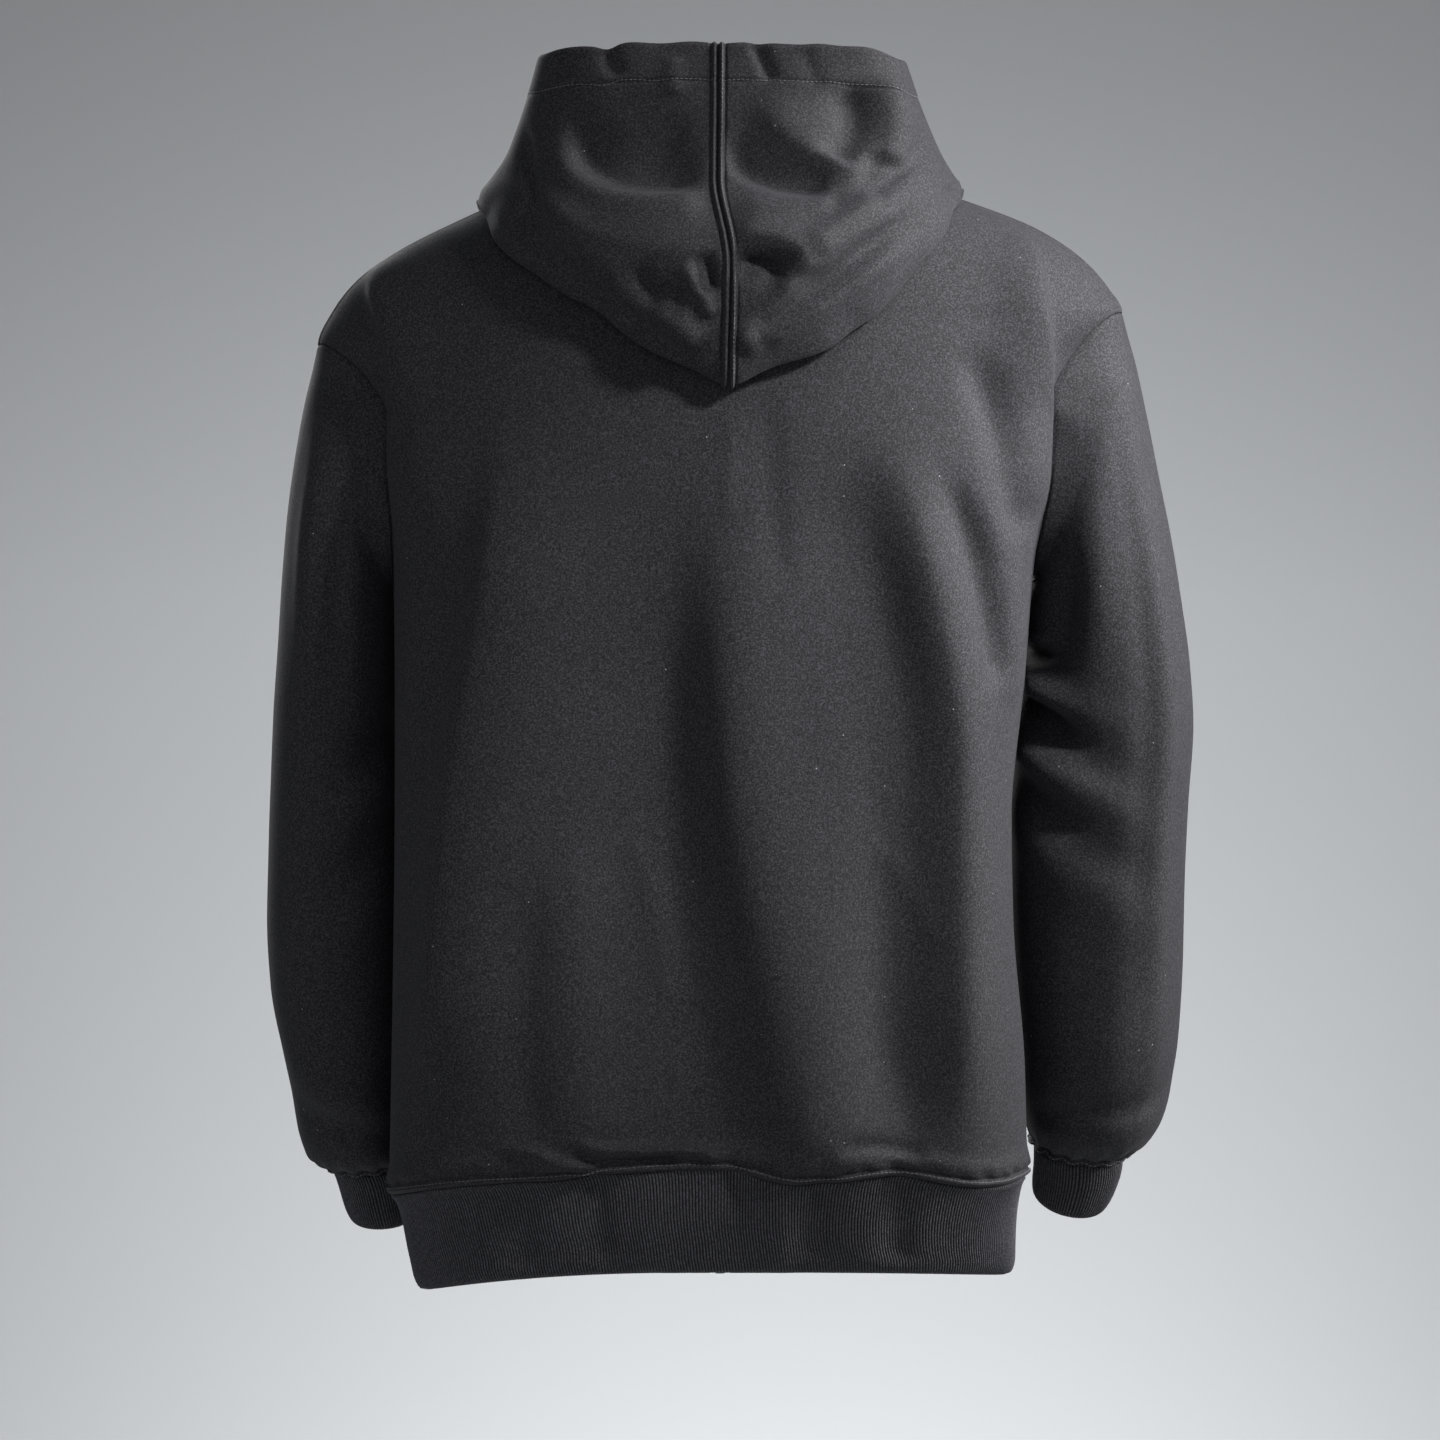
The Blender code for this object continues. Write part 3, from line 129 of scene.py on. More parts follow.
DRAPE_TABLE = [
    # broad folds that hang from the shoulder blades
    Drape("back", ((136, -150), (156, -300), (178, -430), (193, -640)), 15, 55, 12.5),
    Drape("back", ((26, -185), (40, -375), (24, -540), (-16, -700)), 60, 28, -12.5),
    Drape("back", ((2, -185), (-8, -375), (-36, -540), (-70, -710)), 20, 48, 11.2),
    Drape("back", ((-78, -170), (-106, -290), (-122, -400), (-122, -700)), 30, 20, -9.2),
    Drape("back", ((-112, -170), (-143, -290), (-160, -395), (-166, -700)), 18, 22, 10),
    Drape("back", ((92, -430), (96, -540), (88, -670)), 26, 18, 4.6),
    Drape("back", ((126, -460), (132, -560), (124, -650)), 18, 14, -3.4),
    # narrow pleats below the hood and long creases of the seat
    Drape("back", ((-4, -150), (-6, -190), (-5, -235)), 6, 7, 1.2),
    Drape("back", ((-30, -140), (-34, -200), (-40, -280)), 8, 8, -1.3),
    Drape("back", ((-100, -440), (-124, -472), (-147, -520)), 7, 9, 1.5),
    Drape("back", ((64, -430), (44, -490), (34, -560)), 9, 8, 1.6),
    # pulls from the right armhole towards the shoulder blade
    Drape("back", ((-164, -110), (-184, -170), (-204, -250)), 12, 14, -5.6),
    Drape("back", ((-146, -190), (-168, -260), (-188, -350)), 10, 10, -4),
    Drape("back", ((-170, -200), (-190, -270), (-199, -360)), 10, 12, 3),
    # edges where the back turns over the shoulder blades towards the sleeves
    Drape("edge", ((238, -30), (231, -80), (217.5, -125), (213, -260)), 4.5, 24, 7.4),
    Drape("edge", ((-204, -25), (-213, -80), (-216.5, -125), (-211, -260)), 24, 4.5, 7.4),
    # thin creases where the cloth bunches over the rib
    Drape("back", ((101, -641), (82, -650), (56.5, -651), (19, -650), (-6, -662)), 4.5, 3.5, 6),
    Drape("back", ((154, -650), (126, -651.5), (107, -659.5), (81, -665)), 4.5, 3.5, 4.8),
    Drape("back", ((100, -651), (80, -657.5), (55, -658.5), (22, -658.5)), 4, 4, -4.4),
    Drape("back", ((-76, -652), (-100, -648), (-140, -656)), 5, 6, -1.6),
    # the folds run out in soft dents of the rib
    Drape("back", ((84, -655), (82, -690), (80, -728)), 13, 10, -4.8),
    Drape("back", ((50, -662), (46, -695), (46, -735)), 14, 14, 3.2),
    Drape("back", ((-8, -650), (-10, -690), (-8, -725)), 12, 10, -4.8),
    Drape("back", ((-38, -660), (-40, -700), (-40, -738)), 12, 10, 3.4),
    Drape("back", ((-64, -648), (-67, -690), (-66, -725)), 10, 10, -5),
    Drape("back", ((-118, -655), (-120, -690), (-118, -730)), 12, 12, -4),
    Drape("back", ((136, -660), (134, -695), (132, -735)), 14, 14, -3),
    # the fronts hang straighter, held by the zip
    Drape("front", ((104, -170), (128, -330), (140, -480), (152, -650)), 30, 26, 6.8),
    Drape("front", ((-100, -170), (-122, -330), (-134, -480), (-142, -650)), 28, 32, 6.8),
    Drape("front", ((60, -210), (66, -360), (72, -500), (74, -660)), 26, 30, -5.8),
    Drape("front", ((-58, -220), (-66, -360), (-72, -520), (-78, -660)), 28, 24, -5.4),
    Drape("front", ((176, -250), (188, -420), (198, -620)), 18, 20, -4.2),
    Drape("front", ((-168, -240), (-176, -420), (-182, -600)), 20, 18, -4.2),
    Drape("front", ((190, -215), (150, -225), (100, -265)), 12, 16, -3),
    Drape("front", ((-190, -205), (-150, -218), (-106, -262)), 14, 12, -3),
    Drape("front", ((160, -648), (110, -654), (60, -650)), 6, 7, -1.8),
    Drape("front", ((-50, -648), (-100, -656), (-150, -648)), 6, 7, -1.8),
]
DRAPES = from_millimetres(DRAPE_TABLE)
DRAPE_STARTS, DRAPE_ENDS = 0.30, 0.14
DRAPE_FADE, DRAPE_FROM, EDGE_FROM = 0.05, 0.6, 0.1
LINE_STEPS = 14  # straight stretches that stand for a drape's smooth line

# ---------------------------------------------------------------- the sleeves' tables
Ring = namedtuple("Ring", "outer_x outer_z inner_x inner_z y_mid half_depth back_drop")
SLEEVES = {
    LEFT: [
        Ring(0.2775, -0.1420, 0.2225, -0.2790, -0.010, 0.0665, 0.000),
        Ring(0.2850, -0.1800, 0.2240, -0.2860, -0.013, 0.0690, 0.000),
        Ring(0.2915, -0.2250, 0.2235, -0.2970, -0.018, 0.0705, 0.001),
        Ring(0.2955, -0.2700, 0.2220, -0.3135, -0.024, 0.0715, 0.002),
        Ring(0.2985, -0.3150, 0.2200, -0.3360, -0.031, 0.0720, 0.003),
        Ring(0.3015, -0.3560, 0.2175, -0.3660, -0.038, 0.0715, 0.004),
        Ring(0.3035, -0.4000, 0.2150, -0.4030, -0.044, 0.0700, 0.006),
        Ring(0.3055, -0.4500, 0.2130, -0.4500, -0.051, 0.0690, 0.008),
        Ring(0.3068, -0.5000, 0.2115, -0.4980, -0.060, 0.0680, 0.010),
        Ring(0.3045, -0.5430, 0.2105, -0.5420, -0.068, 0.0670, 0.012),
        Ring(0.2965, -0.5850, 0.2090, -0.5830, -0.076, 0.0655, 0.013),
        Ring(0.2905, -0.6180, 0.2080, -0.6150, -0.082, 0.0640, 0.014),
        Ring(0.2855, -0.6450, 0.2070, -0.6410, -0.087, 0.0600, 0.014),
        Ring(0.2800, -0.6580, 0.2070, -0.6530, -0.089, 0.0520, 0.013),
        Ring(0.2665, -0.6640, 0.2110, -0.6590, -0.090, 0.0390, 0.011),
    ],
    RIGHT: [
        Ring(0.2785, -0.1200, 0.2150, -0.2690, -0.010, 0.0665, 0.000),
        Ring(0.2875, -0.1600, 0.2155, -0.2765, -0.013, 0.0690, 0.000),
        Ring(0.2960, -0.2020, 0.2145, -0.2885, -0.018, 0.0705, 0.001),
        Ring(0.3045, -0.2430, 0.2120, -0.3050, -0.024, 0.0715, 0.002),
        Ring(0.3115, -0.2850, 0.2085, -0.3280, -0.031, 0.0720, 0.003),
        Ring(0.3175, -0.3280, 0.2045, -0.3550, -0.038, 0.0715, 0.004),
        Ring(0.3200, -0.3700, 0.2000, -0.3850, -0.044, 0.0700, 0.006),
        Ring(0.3170, -0.4200, 0.1965, -0.4270, -0.050, 0.0690, 0.008),
        Ring(0.3145, -0.4750, 0.1950, -0.4760, -0.057, 0.0680, 0.010),
        Ring(0.3136, -0.5250, 0.1960, -0.5230, -0.064, 0.0670, 0.012),
        Ring(0.3110, -0.5750, 0.1985, -0.5700, -0.070, 0.0655, 0.013),
        Ring(0.3060, -0.6130, 0.2015, -0.6060, -0.075, 0.0640, 0.014),
        Ring(0.2985, -0.6370, 0.2050, -0.6300, -0.079, 0.0600, 0.014),
        Ring(0.2890, -0.6490, 0.2090, -0.6420, -0.081, 0.0520, 0.013),
        Ring(0.2750, -0.6570, 0.2125, -0.6500, -0.082, 0.0390, 0.012),
    ],
}
CUFFS = {
    LEFT: [
        Ring(0.2655, -0.6646, 0.2105, -0.6596, -0.090, 0.0375, 0.011),
        Ring(0.2610, -0.6750, 0.2080, -0.6700, -0.091, 0.0345, 0.010),
        Ring(0.2560, -0.6920, 0.2050, -0.6870, -0.093, 0.0315, 0.010),
        Ring(0.2520, -0.7040, 0.2030, -0.6990, -0.095, 0.0300, 0.010),
    ],
    RIGHT: [
        Ring(0.2740, -0.6576, 0.2130, -0.6506, -0.082, 0.0375, 0.012),
        Ring(0.2730, -0.6690, 0.2130, -0.6620, -0.083, 0.0345, 0.012),
        Ring(0.2680, -0.6840, 0.2120, -0.6760, -0.085, 0.0315, 0.012),
        Ring(0.2620, -0.6960, 0.2110, -0.6860, -0.087, 0.0300, 0.012),
    ],
}
RING_SQUARE = 2.2
SIDE_TURN, SIDE_SAMPLES = 1.2, 121

# A crease on a sleeve: the ring it lies on, the angle of its middle (0 outside, 90 behind, 180
# inside), how many rings it runs down per degree, its half widths in rings and degrees, and its
# height in metres.
SleeveCrease = namedtuple("SleeveCrease", "side ring angle slope rings degrees height")
SLEEVE_CREASES = [
    # the crook of the right elbow: a deep pocket, its lip, and an arc that runs out and down
    SleeveCrease(RIGHT, 4.40, 152, -0.010, 0.18, 20, 0.0040),
    SleeveCrease(RIGHT, 4.75, 160, -0.010, 0.26, 26, -0.0150),
    SleeveCrease(RIGHT, 5.22, 158, -0.010, 0.20, 18, 0.0070),
    SleeveCrease(RIGHT, 5.70, 146, -0.014, 0.32, 36, 0.0120),
    SleeveCrease(RIGHT, 6.36, 138, -0.018, 0.38, 36, -0.0180),
    SleeveCrease(RIGHT, 7.20, 130, -0.013, 0.38, 40, 0.0115),
    SleeveCrease(RIGHT, 7.90, 126, -0.012, 0.36, 38, -0.0090),
    SleeveCrease(RIGHT, 8.50, 120, -0.013, 0.44, 44, 0.0048),
    # the cloth of the underarms lies against the trunk's sides
    SleeveCrease(RIGHT, 3.8, 194, 0.000, 3.00, 40, 0.0100),
    SleeveCrease(LEFT, 3.2, 194, 0.000, 2.60, 40, 0.0095),
    # long soft ridges down the back of the right arm
    SleeveCrease(RIGHT, 6.8, 50, 0.000, 5.00, 11, 0.0030),
    SleeveCrease(RIGHT, 5.2, 66, 0.000, 3.60, 9, -0.0012),
    SleeveCrease(RIGHT, 3.7, 96, 0.000, 2.20, 12, 0.0034),
    SleeveCrease(RIGHT, 3.9, 126, 0.000, 1.50, 16, -0.0085),
    SleeveCrease(RIGHT, 11.2, 95, 0.012, 0.60, 45, 0.0050),
    SleeveCrease(RIGHT, 12.2, 80, 0.006, 0.35, 50, -0.0058),
    SleeveCrease(RIGHT, 7.0, 260, 0.010, 0.55, 55, -0.0045),
    SleeveCrease(RIGHT, 8.2, 265, 0.010, 0.55, 50, 0.0030),
    SleeveCrease(RIGHT, 12.3, 250, -0.010, 0.60, 50, 0.0034),
    # the left arm, straighter
    SleeveCrease(LEFT, 6.4, 135, -0.012, 0.45, 44, -0.0062),
    SleeveCrease(LEFT, 7.2, 125, -0.012, 0.45, 44, 0.0044),
    SleeveCrease(LEFT, 8.0, 115, -0.012, 0.50, 48, -0.0058),
    SleeveCrease(LEFT, 9.0, 100, -0.010, 0.60, 46, 0.0026),
    SleeveCrease(LEFT, 3.2, 60, 0.002, 1.90, 14, 0.0044),
    SleeveCrease(LEFT, 3.4, 92, 0.002, 1.90, 14, -0.0038),
    SleeveCrease(LEFT, 11.6, 80, 0.012, 0.60, 50, 0.0050),
    SleeveCrease(LEFT, 12.4, 90, 0.006, 0.35, 50, -0.0050),
    SleeveCrease(LEFT, 7.4, 262, 0.010, 0.55, 55, -0.0045),
    SleeveCrease(LEFT, 8.5, 266, 0.010, 0.55, 50, 0.0030),
    SleeveCrease(LEFT, 12.2, 265, -0.010, 0.60, 50, 0.0034),
]
# small pleats where a sleeve is gathered into its cuff, and where they start, grow and end in
# rings before it
GATHERS, GATHER_HEIGHT, GATHER_DRIFT = 17, 0.0009, 1.5
GATHER_FROM, GATHER_GROWS, GATHER_ENDS = 1.8, 1.2, 0.3
CREASES_START, CLEARANCE_GROWS = 0.7, 1.6  # in rings after the armhole
NEAR_SIDE = 0.02  # points farther out than this from the trunk's side are clear of it
BATCH = 1000  # points that are measured to the trunk at once

# ---------------------------------------------------------------- the hood's tables
HOOD_LOOPS = [
    Loop(0, 0.0790, 0.0760, 0.0875, -0.0560, 0.1215, 0.1245, 0.020, 0.074, -0.096, 4.0, 2.0),
    Loop(1, 0.0430, 0.0410, 0.0450, -0.0640, 0.1325, 0.1370, 0.022, 0.092, -0.106, 3.2, 2.0),
    Loop(2, 0.0130, 0.0120, -0.0050, -0.0760, 0.1440, 0.1500, 0.020, 0.114, -0.114, 2.6, 2.0),
    Loop(3, 0.0000, -0.0010, -0.0620, -0.0880, 0.1530, 0.1585, 0.014, 0.152, -0.118, 2.2, 2.0),
]
BEND_BACK, BEND_FRONT = 1.9, 1.35
FoldLine = namedtuple("FoldLine", "hood_angle trunk_angle side_z edge_out bulge_out")
HOOD_FOLD = [
    FoldLine(-90, -90, -0.0300, 0.0085, 0.0160),
    FoldLine(-60, -64, -0.0280, 0.0080, 0.0150),
    FoldLine(-30, -34, -0.0230, 0.0060, 0.0120),
    FoldLine(0, 0, -0.0180, 0.0050, 0.0115),
    FoldLine(20, 32, -0.0270, 0.0070, 0.0150),
    FoldLine(40, 58, -0.0640, 0.0090, 0.0200),
    FoldLine(60, 71, -0.1090, 0.0110, 0.0240),
    FoldLine(75, 79, -0.1330, 0.0120, 0.0260),
    FoldLine(90, 90, -0.1460, 0.0130, 0.0270),
]
SEAM_SPREAD = 0.6
BULGE_AT = 0.90
UnderLayer = namedtuple("UnderLayer", "share clearance")
UNDER_LAYER = [
    UnderLayer(0.86, 0.0052),
    UnderLayer(0.55, 0.0050),
    UnderLayer(0.25, 0.0045),
    UnderLayer(0.07, 0.0024),
]
NECK_CLEARANCE = 0.0013
SEAM_DRIFT = [0.0013, 0.0015, 0.0020, -0.0070, -0.0060, -0.0055, -0.003, 0, 0, 0, 0]
HOOD_KNOT_ROWS = [38, 28, 34, 28, 12, 8, 5, 4, 3, 3]  # rows between the profile's knots
HOOD_OUTER_KNOTS = 4.6  # the outer layer ends here, on the bulge
SEAM_STITCH_KNOTS = 4.9  # and the centre seam's stitches go on a little under the fold
CASING = 0.028  # width of the turned hem at the rim
CASING_RISE, CASING_EDGE = 0.0003, 0.0015  # its double cloth stands a little higher
CASING_DITCH, CASING_DITCH_WIDTH = 0.0006, 0.0013  # and dips under its stitches
RIM_ROUND, RIM_ROUND_WIDTH = 0.0009, 0.0014
RIM_WAVE, RIM_WAVE_LENGTH, RIM_FADE = 0.0006, 0.0065, 0.03

# small dips of the rim where its casing is gathered
RIM_DIPS = [
    Dip(0.0750, 0.0030, 0.007),
    Dip(0.1150, -0.0012, 0.012),
    Dip(-0.0250, 0.0014, 0.008),
    Dip(-0.0560, 0.0012, 0.010),
    Dip(-0.0950, -0.0010, 0.014),
]

# dips of the bag's lower edge: a point at the seam, and uneven sides
EDGE_DIPS = [
    Dip(-0.0067, 0.0085, 0.020),
    Dip(0.0750, -0.0095, 0.034),
    Dip(-0.1050, 0.0095, 0.028),
]
EDGE_KNOT = 5  # the knot of the profile at that edge, whose two neighbours dip with it
EDGE_SHARES = (0.9, 1.0, 0.7)
SEAM_CALM, SEAM_STIFF = 0.014, 0.35  # beside the stiff centre seam this share of a crease is left

# creases of the hood's outer layer, by the same columns as the drapes
HOOD_TABLE = [
    # the hollow left of the seam, its steep outer wall and the roll that goes round it
    Drape("back", ((64, 62), (52, 32), (26, 14)), 24, 22, -3),
    Drape("back", ((94, 50), (88.5, 12), (64, -3), (8, -6)), 10, 30, -9.5),
    Drape("back", ((107, 44), (102, 4), (78, -14), (42, -20), (6, -18)), 14, 8, 5),
    # the hollows right of the seam and the ridges between them
    Drape("back", ((-4, 30), (-16, 3), (-43, -8), (-76, -12.5)), 7, 14, -7.4),
    Drape("back", ((-20, 58), (-42, 28), (-70, 8), (-100, -4)), 12, 22, 5.8),
    Drape("back", ((-84, 64), (-90, 34), (-76, 4)), 14, 10, -7.6),
    Drape("back", ((-112, 74), (-118, 38), (-110, 2)), 12, 13, 6.4),
    Drape("back", ((-6, -24), (-40, -26), (-78, -22)), 9, 10, 3.4),
    # gathers under the casing
    Drape("back", ((-52, 86), (-60, 72), (-66, 56)), 5, 5, -1),
    Drape("back", ((-22, 90), (-28, 76), (-35, 60)), 4, 5, -3.6),
    Drape("back", ((76, 88), (73, 76), (66, 64)), 5, 5, -2.4),
    Drape("back", ((28, 80), (32, 66), (30, 50)), 7, 7, 1.8),
    # creases that part the wings from the standing part
    Drape("back", ((134, 42), (128, 12), (122, -22), (121, -40)), 7, 4, -4.2),
    Drape("back", ((-138, 28), (-128, 8), (-96, -22)), 6, 8, -4),
    # the deep hollow right of the seam under its overhang, and the notch and the knob left of it
    Drape("back", ((-4, -46), (-26, -45), (-51, -52), (-58, -74)), 6, 18, 6),
    Drape("back", ((-2, -62), (-24, -61), (-45, -72)), 11, 8, -13),
    Drape("back", ((-56, -64), (-36, -92), (-10, -122)), 10, 12, 5.2),
    Drape("back", ((10, -54), (5, -82)), 7, 5, -6.6),
    Drape("back", ((28, -58), (14, -81), (4, -100)), 6, 7, 5.6),
    Drape("back", ((44, -84), (29, -102), (12, -118)), 12, 11, 8.8),
    Drape("back", ((60, -60), (46, -82), (22, -94)), 8, 9, -6.2),
    # folds that follow the bag's lower edge
    Drape("back", ((-146, 14), (-119, -6), (-85, -34), (-58, -56)), 10, 10, 4.4),
    Drape("back", ((-140, -16), (-106, -46), (-78, -68), (-45, -90), (-14, -112)), 7, 9, -6.6),
    Drape("back", ((-136, -36), (-100, -66), (-60, -96), (-26, -118)), 7, 8, 4.2),
    Drape("back", ((142, -16), (112, -58), (72, -92), (30, -116)), 9, 8, -3.4),
    Drape("back", ((124, -10), (92, -50), (56, -76)), 12, 12, 3.4),
]
HOOD_CREASES = from_millimetres(HOOD_TABLE)

# ---------------------------------------------------------------- zip sizes
TAPE_EDGE = 0.0031
TAPE_WIDTH = 0.015
TAPE_THICK = 0.0008
TAPE_COLUMNS, TAPE_ROWS = 13, 220
TAPE_DEPTH = RIB_CLOTH + SEAM_GAP
CORD_HEIGHT, CORD_AT, CORD_WIDTH = 0.0006, 0.0012, 0.0010  # the cord along a tape's inner edge
CHAIN_HALF = 0.0028
CHAIN_FRONT, CHAIN_BACK = -0.0006, -0.0040
SLIDER_AT = -0.014
BOX_LENGTH = 0.0095
TOOTH_PITCH = 0.0026  # of one side's teeth
TOOTH_HEIGHT = 0.0011
TOOTH_REACH = 0.0006  # past the centre line, between the other side's teeth
TOOTH_WAIST, TOOTH_SHOULDER, TOOTH_CORNER = -0.0010, -0.0004, 0.0003  # across, from that line
TOOTH_NECK, TOOTH_NOSE = 0.7, 0.5  # heights of its neck and nose as shares of the head's
TOOTH_LEVELS = ((1.0, 0.72), (0.78, 1.0), (-0.78, 1.0), (-1.0, 0.72))  # share of depth, and size
CHAIN_SAMPLES = 500

# ---------------------------------------------------------------- sizes of the fine details
SEAM_DITCH, DITCH_WIDTH = 0.0015, 0.0014  # where two pieces are sewn the cloth dips into the seam
SEAM_ROLL, ROLL_AT, ROLL_WIDTH = 0.0021, 0.0031, 0.0021  # it rolls over the allowance
STITCHED_AT, STITCH_DITCH = 0.0062, 0.0011  # and is stitched down this far from the seam
SWELL, SWELL_AT, SWELL_WIDTH = 0.0017, 0.0125, 0.0065  # the cloth swells beyond the stitches
PUCKER, PUCKER_AT, PUCKER_WIDTH = 0.0006, 0.0085, 0.0035  # and puckers along them
PUCKER_WAVES = 0.0031, 0.0052, 0.021  # a short and a long wave, and the drift of the short one
THREAD = 0.00042  # radius of the top stitching's thread
STITCH, STITCH_PITCH, STITCH_PROUD = 0.0024, 0.0031, 0.25
RIB_RELIEF = 0.0010  # of the knitted ribs, which are 2.07 mm apart
RIB_FULLNESS = 0.7
RIB_EDGE = 0.0012  # radius at which a rib's lower edge is rounded
HEM_CURL, CUFF_CURL, CURL_WIDTH = 0.0055, 0.0028, 0.012  # how far and how high a rib turns in
CURL_FROM, CURL_FADE = 0.025, 0.04  # the hem's curl starts this far from the zip
RIB_SAMPLES = 4  # columns to a rib
RIB_PAINTED_SHADE_AND_HIGHLIGHT = "rib_painted_shade_and_highlight"  # the attribute, from the ribs' height, by which the material paints shade into the grooves and a highlight on the crowns


# ---------------------------------------------------------------- curves
def smooth_through(at, known, values):
    """Monotone cubic through the points (known, values), read at `at` and held at the ends:
    each stretch is the cubic whose end slopes are the harmonic means of its neighbours'."""
    known = np.asarray(known, float)
    values = np.asarray(values, float).reshape(len(known), -1)
    step = np.diff(known)[:, None]
    slope = np.diff(values, axis=0) / step
    tangent = np.zeros_like(values)
    near, far = 2 * step[1:] + step[:-1], step[1:] + 2 * step[:-1]
    rising = slope[:-1] * slope[1:] > 0
    before, after = np.where(rising, slope[:-1], 1), np.where(rising, slope[1:], 1)
    tangent[1:-1] = np.where(rising, (near + far) / (near / before + far / after), 0)
    tangent[0], tangent[-1] = slope[0], slope[-1]
    place = np.clip(np.asarray(at, float), known[0], known[-1])
    k = np.clip(np.searchsorted(known, place, "right") - 1, 0, len(known) - 2)
    width = step[k, 0][..., None]
    t = (place - known[k])[..., None] / width
    start = values[k] * (1 + 2 * t) + tangent[k] * width * t
    end = values[k + 1] * (3 - 2 * t) - tangent[k + 1] * width * (1 - t)
    return start * (1 - t) ** 2 + end * t * t


def smooth_step(x):
    """0 below 0, 1 above 1, and 3x^2 - 2x^3 between."""
    x = np.clip(x, 0.0, 1.0)
    return x * x * (3 - 2 * x)


def bell(x, width):
    """1 at 0, and exp(-1) at one width on either side."""
    return np.exp(-((x / width) ** 2))


def dips_at(x, dips):
    """How deep some bell-shaped dips are together at a place across."""
    return sum(dip.depth * bell(x - dip.x, dip.width) for dip in dips)


def line_lengths(points):
    """Distance along a line at each of its points."""
    return np.concatenate([[0], np.cumsum(np.linalg.norm(np.diff(points, axis=0), axis=1))])


def read_line(points, known, at):
    """A line's points or normals, known at some distances along it, at others."""
    return np.stack([np.interp(at, known, points[:, k]) for k in range(3)], -1)


def unit(vectors):
    return vectors / np.linalg.norm(vectors, axis=-1, keepdims=True)


def close_at_ends(count, crowding):
    """Places from 0 to 1 that lie closer together at both ends: t less crowding times the sine
    of a whole turn."""
    t = np.linspace(0, 1, count)
    return t - crowding * np.sin(TURN * t) / TURN


def loop_point(loop, angle, bend_back=2.0, bend_front=2.0):
    """A point of a rounded oval: x and y are its reaches times cosine and sine to the power 2
    over its squareness, and z runs from the side's height to the end's with the sine's power."""
    cos, sin = np.cos(angle), np.sin(angle)
    behind = sin >= 0
    power = 2.0 / np.where(behind, loop.square_back, loop.square_front)
    x = np.where(cos >= 0, loop.x_left, -loop.x_right) * np.abs(cos) ** power
    reach = np.where(behind, loop.y_back, loop.y_front) - loop.y_side
    side = np.where(cos >= 0, loop.z_left, loop.z_right)
    end = np.where(behind, loop.z_back, loop.z_front)
    bend = np.abs(sin) ** np.where(behind, bend_back, bend_front)
    return np.stack([x, loop.y_side + reach * np.abs(sin) ** power, side + (end - side) * bend], -1)


def grid_normals(points, closed):
    """Outward normals of a grid whose rows go down and whose columns turn from left to back:
    the cross product of the way along its columns and the way up its rows."""
    rise = -np.gradient(points, axis=0)
    if closed:
        run = np.roll(points, -1, axis=1) - np.roll(points, 1, axis=1)
    else:
        run = np.gradient(points, axis=1)
    return unit(np.cross(run, rise))


# ---------------------------------------------------------------- folds of the cloth
def beside_line(x, z, line):
    """Signed distance from a smooth line, positive on the wearer's left of a line that runs
    down, and the share of its length: the nearest of its straight stretches is measured."""
    knots = np.array(line)
    bent = smooth_through(np.linspace(0, len(knots) - 1, LINE_STEPS + 1), range(len(knots)), knots)
    start, step = bent[:-1], np.diff(bent, axis=0)
    apart = np.stack([x[..., None] - start[:, 0], z[..., None] - start[:, 1]], -1)
    share = np.clip((apart * step).sum(-1) / (step**2).sum(-1), 0, 1)
    gap = apart - share[..., None] * step
    length = np.hypot(gap[..., 0], gap[..., 1])
    nearest = length.argmin(-1)[..., None]
    turned = step[:, 0] * gap[..., 1] - step[:, 1] * gap[..., 0]
    signed = np.where(turned >= 0, length, -length)
    along = (np.arange(LINE_STEPS) + share) / LINE_STEPS
    return tuple(np.take_along_axis(values, nearest, -1)[..., 0] for values in (signed, along))


def drape_height(point, drapes):
    """Height of all drapes at a point: each is a bell across its line, of one width on either
    flank, and fades at its two ends and round the side."""
    x, y, z = np.moveaxis(point, -1, 0)
    total = np.zeros_like(x)
    for drape in drapes:
        apart, share = beside_line(x, z, drape.line)
        width = np.where(apart > 0, drape.left, drape.right)
        taper = smooth_step(share / DRAPE_STARTS) * smooth_step((1 - share) / DRAPE_ENDS)
        facing_y, fades_from = (-y if drape.side == "front" else y), DRAPE_FROM
        if drape.side == "edge":
            fades_from = EDGE_FROM
        facing = smooth_step(facing_y / DRAPE_FADE - fades_from)
        total += drape.height * bell(apart, width) * taper * facing
    return total


# ---------------------------------------------------------------- the trunk's master surface
def trunk_plain(side_z, angle):
    """The trunk by side height and loop angle, before its folds: each height's oval, whose
    sizes run smoothly through the table, less the bell-shaped dips of the hem seam."""
    values = smooth_through(side_z, [row.side_z for row in BODY_LOOPS], [row[1:] for row in BODY_LOOPS])
    point = loop_point(Loop(side_z, *np.moveaxis(values, -1, 0)), angle)
    near_seam = bell(side_z - HEM_SEAM, DIP_REACH) * smooth_step((side_z - HEM_END) / DIP_FADE)
    behind = smooth_step((point[..., 1] - DIP_FROM) / DIP_FADE)
    point[..., 2] -= dips_at(point[..., 0], HEM_DIPS) * near_seam * behind
    return point


def trunk(side_z, angle):
    """Points and outward normals of the trunk with its drapes raised along the normals."""
    side_z, angle = np.broadcast_arrays(side_z, angle)
    rise = trunk_plain(side_z + SMALL_RISE, angle) - trunk_plain(side_z - SMALL_RISE, angle)
    run = trunk_plain(side_z, angle + SMALL_TURN) - trunk_plain(side_z, angle - SMALL_TURN)
    normal = unit(np.cross(run, rise))
    point = trunk_plain(side_z, angle)
    return point + normal * drape_height(point, DRAPES)[..., None], normal


